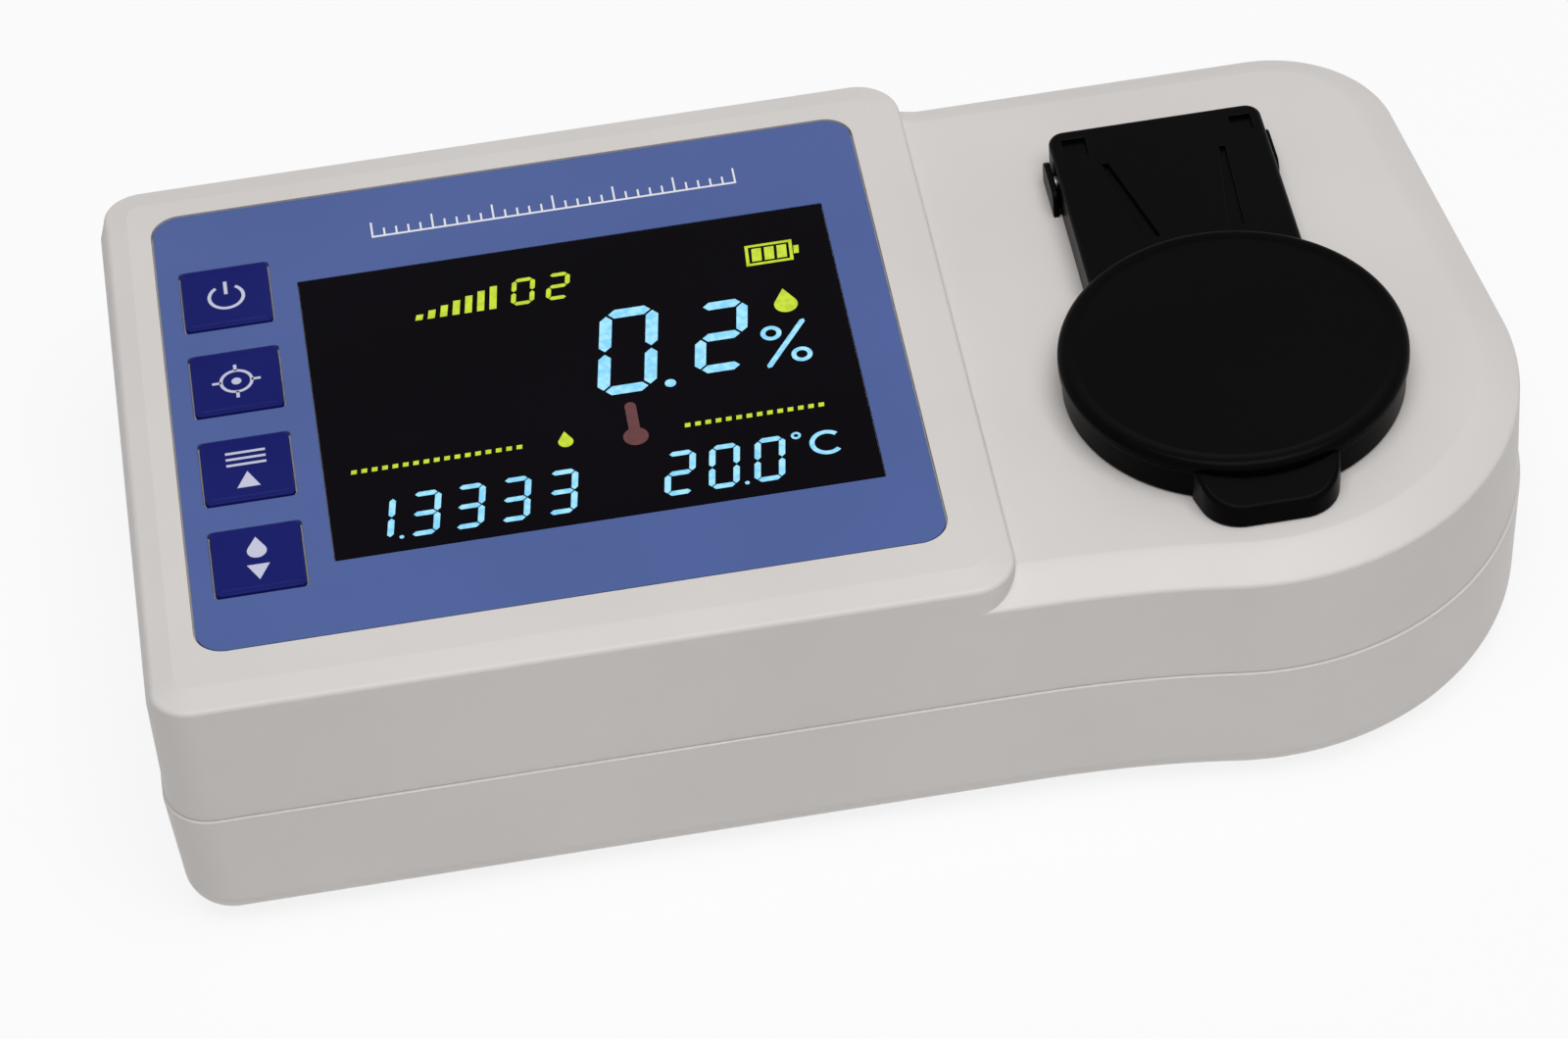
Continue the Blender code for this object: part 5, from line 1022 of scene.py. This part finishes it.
# %% Lid: cap, arm and tab
LID_TOP, LID_RADIUS = 51.0, 26.1
BAND_RADIUS, BORE = LID_RADIUS - 0.5, 23.8
ARM_TOP, ARM_HALF, TAIL = 50.0, 16.7, 35.7

profile = [(0, LID_BASE), (BAND_RADIUS - 0.3, LID_BASE), (BAND_RADIUS - 0.08, LID_BASE + 0.08),
           (BAND_RADIUS, LID_BASE + 0.3), (BAND_RADIUS, LID_TOP - 2.7)]
profile += quarter(LID_RADIUS - 0.35, LID_TOP - 2.1, 0.35, -75, 0, 5)
profile += quarter(LID_RADIUS - 1.2, LID_TOP - 1.2, 1.2, 0, 90, 12)
profile += [(LID_RADIUS - 1.9, LID_TOP - 0.03), (LID_RADIUS - 2.3, LID_TOP - 0.16),
            (LID_RADIUS - 2.8, LID_TOP - 0.2), (0, LID_TOP - 0.2)]
lid = new_piece("lid_moulding", *turned(profile, LID_X, LID_Y, 192))

arm = np.vstack(((ARM_X - ARM_HALF, LID_Y + 12), (ARM_X + ARM_HALF, LID_Y + 12),
                 arc(ARM_X + ARM_HALF - 2.5, TAIL - 2.5, 2.5, 0, 90, 14),
                 arc(ARM_X - ARM_HALF + 2.5, TAIL - 2.5, 2.5, 90, 180, 14)))
join(lid, skin(stack(lambda d: inset(arm, d), crown_levels(LID_BASE, ARM_TOP, 0.9))))


def corner_cut(points, radii, count=10):
    """Replaces each corner that has a radius by an arc that touches both its sides."""
    out = []
    for k, (here, radius) in enumerate(zip(points, radii)):
        here = np.array(here, float)
        if radius == 0:
            out.append(here[None])
            continue
        before = np.array(points[k - 1]) - here
        after = np.array(points[(k + 1) % len(points)]) - here
        before, after = before / np.linalg.norm(before), after / np.linalg.norm(after)
        half = np.arccos(np.clip(before @ after, -1, 1)) / 2
        middle = here + (before + after) / np.linalg.norm(before + after) * radius / np.sin(half)
        a, b = here + before * radius / np.tan(half) - middle, here + after * radius / np.tan(half) - middle
        start = np.degrees(np.arctan2(a[1], a[0]))
        turn = np.degrees(np.arctan2(a[0] * b[1] - a[1] * b[0], a @ b))
        out.append(arc(*middle, radius, start, start + turn, count))
    return np.vstack(out)


ROOT_HALF, TIP_HALF, TAB_REACH = 11.0, 9.0, 4.9
root_y = LID_Y - np.sqrt(LID_RADIUS**2 - ROOT_HALF**2)
tip_y = LID_Y - LID_RADIUS - TAB_REACH
tab = corner_cut(((LID_X - ROOT_HALF, LID_Y - 20), (LID_X - ROOT_HALF, root_y), (LID_X - TIP_HALF, tip_y),
                  (LID_X + TIP_HALF, tip_y), (LID_X + ROOT_HALF, root_y), (LID_X + ROOT_HALF, LID_Y - 20)),
                 (0, 3.0, 6.3, 6.3, 3.0, 0), 16)
t = np.linspace(0, np.pi / 2, 8)
tab_levels = [(0.0, None)] + np.column_stack((0.7 * (1 - np.cos(t)), 0.7 * (1 - np.sin(t)))).tolist()
TAB_TOP, TAB_FALL = 49.2, 2.2 / TAB_REACH
rings = []
for depth, drop in tab_levels:
    ring = inset(tab, depth)
    fall = np.maximum(0, (LID_Y - LID_RADIUS) - ring[:, 1]) * TAB_FALL
    height = np.full(len(ring), LID_BASE) if drop is None else TAB_TOP - fall - drop
    rings.append(np.column_stack((ring, height)))
join(lid, skin(np.array(rings)))
print("lid reaches from y", round(float(tip_y), 1), "to", TAIL, "mm")

# %% [markdown]
# Underneath, the cap is hollow to make room for the well, and the arm is a channel. On
# top, the arm has two tapered grooves that run from the hinge towards the cap and a small
# pocket near each back corner. All of these are cut at once from the solid shape.

# %% Lid: hollows, grooves and pockets
LID_WALL, LID_ROOF = 1.8, 2.0
cup = [(0, LID_BASE - 2), (BORE, LID_BASE - 2), (BORE, LID_TOP - 2.4), (BORE - 0.4, LID_TOP - LID_ROOF),
       (0, LID_TOP - LID_ROOF)]
cut(lid, turned(cup, LID_X, LID_Y, 160))
channel = (ARM_X - ARM_HALF + LID_WALL, LID_Y + BORE + LID_WALL, ARM_X + ARM_HALF - LID_WALL, TAIL - LID_WALL)
cut(lid, box(channel, LID_BASE - 2, ARM_TOP - LID_ROOF))
edge_levels = [(0.0, ARM_TOP - 0.7), (0.0, ARM_TOP - 0.12), (0.2, ARM_TOP + 0.05), (0.2, ARM_TOP + 2)]
for back_x, front_x in ((50.3, 54.2), (68.7, 67.2)):
    wedge = np.array(((front_x - 1.2, HINGE_Y - 19.6), (front_x + 1.2, HINGE_Y - 19.6),
                      (back_x + 0.45, HINGE_Y - 1.2), (back_x - 0.45, HINGE_Y - 1.2)))
    cut(lid, skin(stack(lambda d: inset(wedge, -d), edge_levels)))
for x0, y0, x1, y1 in ((44.7, 29.2, 48.4, 33.4), (71.0, 29.6, 74.4, 33.2)):
    pocket = rounded_box(x0, y0, x1, y1, 0.5, 6)
    cut(lid, skin(stack(lambda d: inset(pocket, -d), edge_levels)))
cut(lid, rod_x(HINGE_Y, HINGE_Z, 1.35, LID_X - 30, LID_X + 30))
place_on(lid, "lid", lid_plastic, ("lid",), 24.0)
print("lid faces:", len(lid.data.polygons))

# %% [markdown]
# The pin is a plain steel rod with rounded ends. The seal is a soft rubber ring that hangs
# under the cap and closes on the well's flange; its lower edge is round.

# %% Hinge pin and seal
pin = new_piece("pin", *rod_x(HINGE_Y, HINGE_Z, 1.1, ARM_X - 17.7, ARM_X + 17.3, 0.3))
place_on(pin, "case", pin_steel, ("hinge_pin",), 40.0)
lip = [(18.6, 48.7), (15.6, 48.7)]
lip += quarter(16.35, 47.05, 0.75, 180, 270, 7) + quarter(17.85, 47.05, 0.75, 270, 360, 7)
seal = new_piece("seal_ring", *turned(lip, LID_X, LID_Y, 128, True))
place_on(seal, "lid", rubber, ("lid_seal",), 40.0)
print("seal ring from", lip[1][0], "to", lip[0][0], "mm")

# %% [markdown]
# ## The sample well
#
# Under the lid lies a turned steel dish. Its flange rests on the case, its wall slopes
# down like a bowl and its floor has a round hole that the prism fills. The whole section
# is one closed profile, turned about the well's axis, with every edge slightly broken.

# %% Sample well, gasket and prism
section = [(5.8, 38.4), (16.2, 38.4), (16.2, 44.8), (20.0, 44.8), (20.0, 45.75), (19.93, 45.93),
           (19.75, 46.0), (15.3, 46.0), (14.9, 45.9), (14.6, 45.6), (6.9, 41.6), (6.5, 41.5),
           (5.9, 41.5), (5.8, 41.4)]
well = new_piece("well_dish", *turned(section, LID_X, LID_Y, 160, True))
place_on(well, "case", well_steel, ("sample_well",), 28.0)
ring = [(16.8, 43.7), (19.4, 43.7), (19.4, 44.5), (16.8, 44.5)]
gasket = new_piece("gasket_ring", *turned(ring, LID_X, LID_Y, 96, True))
place_on(gasket, "case", rubber, ("well_gasket",))
face = [(0, 36.1), (5.5, 36.1), (5.5, 41.35), (5.35, 41.5), (0, 41.5)]
prism = new_piece("prism_glass", *turned(face, LID_X, LID_Y, 96))
taper = np.array(((LID_X - 3.5, 30.1), (LID_X + 3.5, 30.1), (LID_X + 8.5, 38.1), (LID_X - 8.5, 38.1)))
join(prism, lay_along_y(straight(taper, -LID_Y - 6.0, -LID_Y + 6.0)))
place_on(prism, "case", optical_glass, ("measuring_prism",), 30.0)
print("well is", 2 * 20.0, "mm across, prism face", 2 * 5.5, "mm")

# %% [markdown]
# ## Underside: feet, screws, door and cells
#
# Each foot is a rubber disc with a broken edge and a shallow ring in its face. The screws
# have domed heads with a cross. The door is a flat cover with rounded hinge edge, two
# pins, and five grooves where a finger pushes.

# %% Feet and case screws
for name, (x, y) in FEET.items():
    profile = [(0, 0.25), (3.4, 0.25), (3.6, 0.0), (5.5, 0.0), (5.85, 0.12), (6.0, 0.45), (6.0, 2.2)]
    profile += [(0, 2.2)]
    foot_pad = new_piece(name + "_pad", *turned(profile, x, y, 72))
    place_on(foot_pad, "case", rubber, (name,), 35.0)

HEAD = 3.2
for number, (x, y) in enumerate(SCREWS, 1):
    profile = [(0, HEAD)] + quarter(0.9, HEAD + 1.8, 1.8, 270, 350, 8)
    profile += [(2.7, HEAD + 2.0), (1.4, HEAD + 2.0), (1.4, 31.7), (0, 31.7)]
    screw = new_piece(f"case_screw_{number}_steel", *turned(profile, x, y, 40))
    cut(screw, box((x - 1.5, y - 0.32, x + 1.5, y + 0.32), HEAD - 1, HEAD + 1.0))
    cut(screw, box((x - 0.32, y - 1.5, x + 0.32, y + 1.5), HEAD - 1, HEAD + 1.0))
    place_on(screw, "case", zinc, (f"case_screw_{number}",), 30.0)
print("feet:", len(FEET), "case screws:", len(SCREWS))

# %% Battery door
DOOR = (-70.85, -29.95, -11.65, 33.25)
THICK = 2.4
side_view = np.vstack((arc(DOOR[0] + THICK / 2, BASE + THICK / 2, THICK / 2, 90, 270, 20),
                       ((DOOR[2] - 0.2, BASE), (DOOR[2], BASE + 0.2), (DOOR[2], BASE + THICK - 0.2),
                        (DOOR[2] - 0.2, BASE + THICK))))
levels = [(0.2, -DOOR[3]), (0.0, -DOOR[3] + 0.2), (0.0, -DOOR[1] - 0.2), (0.2, -DOOR[1])]
door = new_piece("battery_door_cover", *lay_along_y(skin(stack(lambda d: inset(side_view, d), levels))))
hinge = arc(DOOR[0] + THICK / 2, BASE + THICK / 2, 0.6, 0, 345, 24)
join(door, lay_along_y(straight(hinge, -DOOR[3] - 1.8, -DOOR[1] + 1.8)))
middle_y = (DOOR[1] + DOOR[3]) / 2
groove_levels = [(0.0, BASE - 1), (0.0, BASE + 0.1), (0.3, BASE + 0.5)]
for k in range(5):
    near = DOOR[2] - 4.0 - 2.0 * k
    groove = rounded_box(near - 1.0, middle_y - 9.0, near, middle_y + 9.0, 0.49, 8)
    cut(door, skin(stack(lambda d: inset(groove, d), groove_levels)))
place_on(door, "battery_door", case_plastic, ("battery_door",), 30.0)
print("door", round(DOOR[2] - DOOR[0], 1), "x", round(DOOR[3] - DOOR[1], 1), "mm")

# %% [markdown]
# The four cells are plain: a dark green jacket, a lighter band near the raised end, and
# bare metal at both ends. The jacket's colours follow the place along X, and every other
# cell is turned round, so the band is read from each cell's own place.

# %% Cells
CELL_RADIUS, CELL_Z = 7.1, 11.6
CELL_ENDS, CELL_LENGTH, CELL_PITCH = (-66.35, -16.15), 50.2, 14.8
for number in range(4):
    way = 1 if number % 2 == 0 else -1
    y = BAY_MIDDLE + CELL_PITCH * (number - 1.5)
    start, end = CELL_ENDS if way > 0 else CELL_ENDS[::-1]
    profile = [(0, 0), (6.2, 0), (6.4, 0.1)]
    profile += quarter(6.5, 0.6, 0.6, 270, 360, 6) + quarter(6.5, 48.2, 0.6, 0, 90, 6)
    profile += [(6.2, 48.8), (6.0, 48.6), (3.4, 48.6), (2.9, 48.8), (2.7, 49.9)]
    profile += [(2.4, CELL_LENGTH), (0, CELL_LENGTH)]
    points, faces = turned(profile, 0.0, 0.0, 64)
    points = np.column_stack((start + way * points[:, 2], y + points[:, 0], CELL_Z + way * points[:, 1]))
    cell = new_piece(f"cell_{number + 1}", points, faces)
    jacket, shader = finish(f"cell_jacket_{number + 1}", (0.02, 0.09, 0.05), 0.3)
    where = own_coordinates(jacket, (start * MM, y * MM, CELL_Z * MM))
    parts = add(jacket, "ShaderNodeSeparateXYZ")
    link(jacket, where, parts.inputs[0])
    along = add(jacket, "ShaderNodeMapRange")
    along.inputs["From Min"].default_value = 0.0
    along.inputs["From Max"].default_value = way * CELL_LENGTH * MM
    link(jacket, parts.outputs["X"], along.inputs["Value"])
    ramp = tint(jacket, shader, along.outputs["Result"], (0.45, 0.45, 0.43), (0.02, 0.09, 0.05), 0.0, 0.02)
    ramp.color_ramp.interpolation = "CONSTANT"
    for position, color in ((0.74, (0.42, 0.40, 0.34)), (0.79, (0.02, 0.09, 0.05)), (0.965, (0.5, 0.5, 0.5))):
        ramp.color_ramp.elements.new(position).color = (*color, 1.0)
    bump(jacket, shader, grain(jacket, where, 700.0), 0.06, 0.00003)
    place_on(cell, "case", jacket, (f"battery_cell_{number + 1}",), 30.0)
print("cells: 4, each", 2 * CELL_RADIUS, "mm thick")

# %% [markdown]
# ## What stays inside
#
# The boards, the display module, the optics and their screws are right as they are. They
# only need their finishes, which go straight onto the frame's own parts.

# %% Finishes for the inner parts
inner_finish = {"lcd_panel": lcd_glass, "lcd_backlight": backlight_white, "main_board": board_green,
                "light_board": board_green, "sensor_board": board_green, "controller_chip": black_plastic,
                "line_sensor": black_plastic, "lens_barrel": black_plastic, "optics_block": aluminium,
                "light_source": lamp_resin, "collecting_lens": optical_glass, "temperature_sensor": pin_steel,
                "sensor_ribbon": ribbon_film, "contact_plate_left": spring_steel,
                "contact_plate_right": spring_steel}
finished = 0
for name, node in nodes.items():
    material = inner_finish.get(name)
    if name.startswith("switch_"):
        material = black_plastic
    if name.startswith(("board_screw", "optics_screw")):
        material = zinc
    if material is not None:
        node.data.materials.clear()
        node.data.materials.append(material)
        finished += 1
print("inner parts finished:", finished)

# %% [markdown]
# ## The table
#
# The floor is a wide white sheet. Seen by the camera, in a mirror or through glass, part
# of it shines by itself with a strength of one, so it looks white, and the rest still takes
# the soft shadow of the case, which is what makes the instrument stand on something.

# %% Floor
WHITE_SHARE, FLOOR_HALF = 0.85, 3000.0
floor_paint, shader = finish("table_paper", (0.82, 0.82, 0.82), 0.9)
where = own_coordinates(floor_paint)
tint(floor_paint, shader, grain(floor_paint, where, 3.0), (0.815, 0.815, 0.817), (0.825, 0.825, 0.825))
white = add(floor_paint, "ShaderNodeEmission", Strength=1.0)
blend = add(floor_paint, "ShaderNodeMixShader")
share = maths(floor_paint, "MULTIPLY", sees_backdrop(floor_paint.node_tree), WHITE_SHARE)
link(floor_paint, share, blend.inputs[0])
link(floor_paint, shader.outputs[0], blend.inputs[1])
link(floor_paint, white.outputs[0], blend.inputs[2])
link(floor_paint, blend.outputs[0], floor_paint.node_tree.nodes["Material Output"].inputs["Surface"])
floor_corners = np.array(((-1, -1, 0), (1, -1, 0), (1, 1, 0), (-1, 1, 0))) * FLOOR_HALF
floor = new_piece("table", floor_corners, [[0, 1, 2, 3]])
floor.data.materials.append(floor_paint)
print("floor laid")

# %% [markdown]
# ## Finish
#
# The settings keep colours as written.

# %% Settings
bpy.context.scene.view_settings.view_transform = "Standard"
bpy.context.view_layer.update()
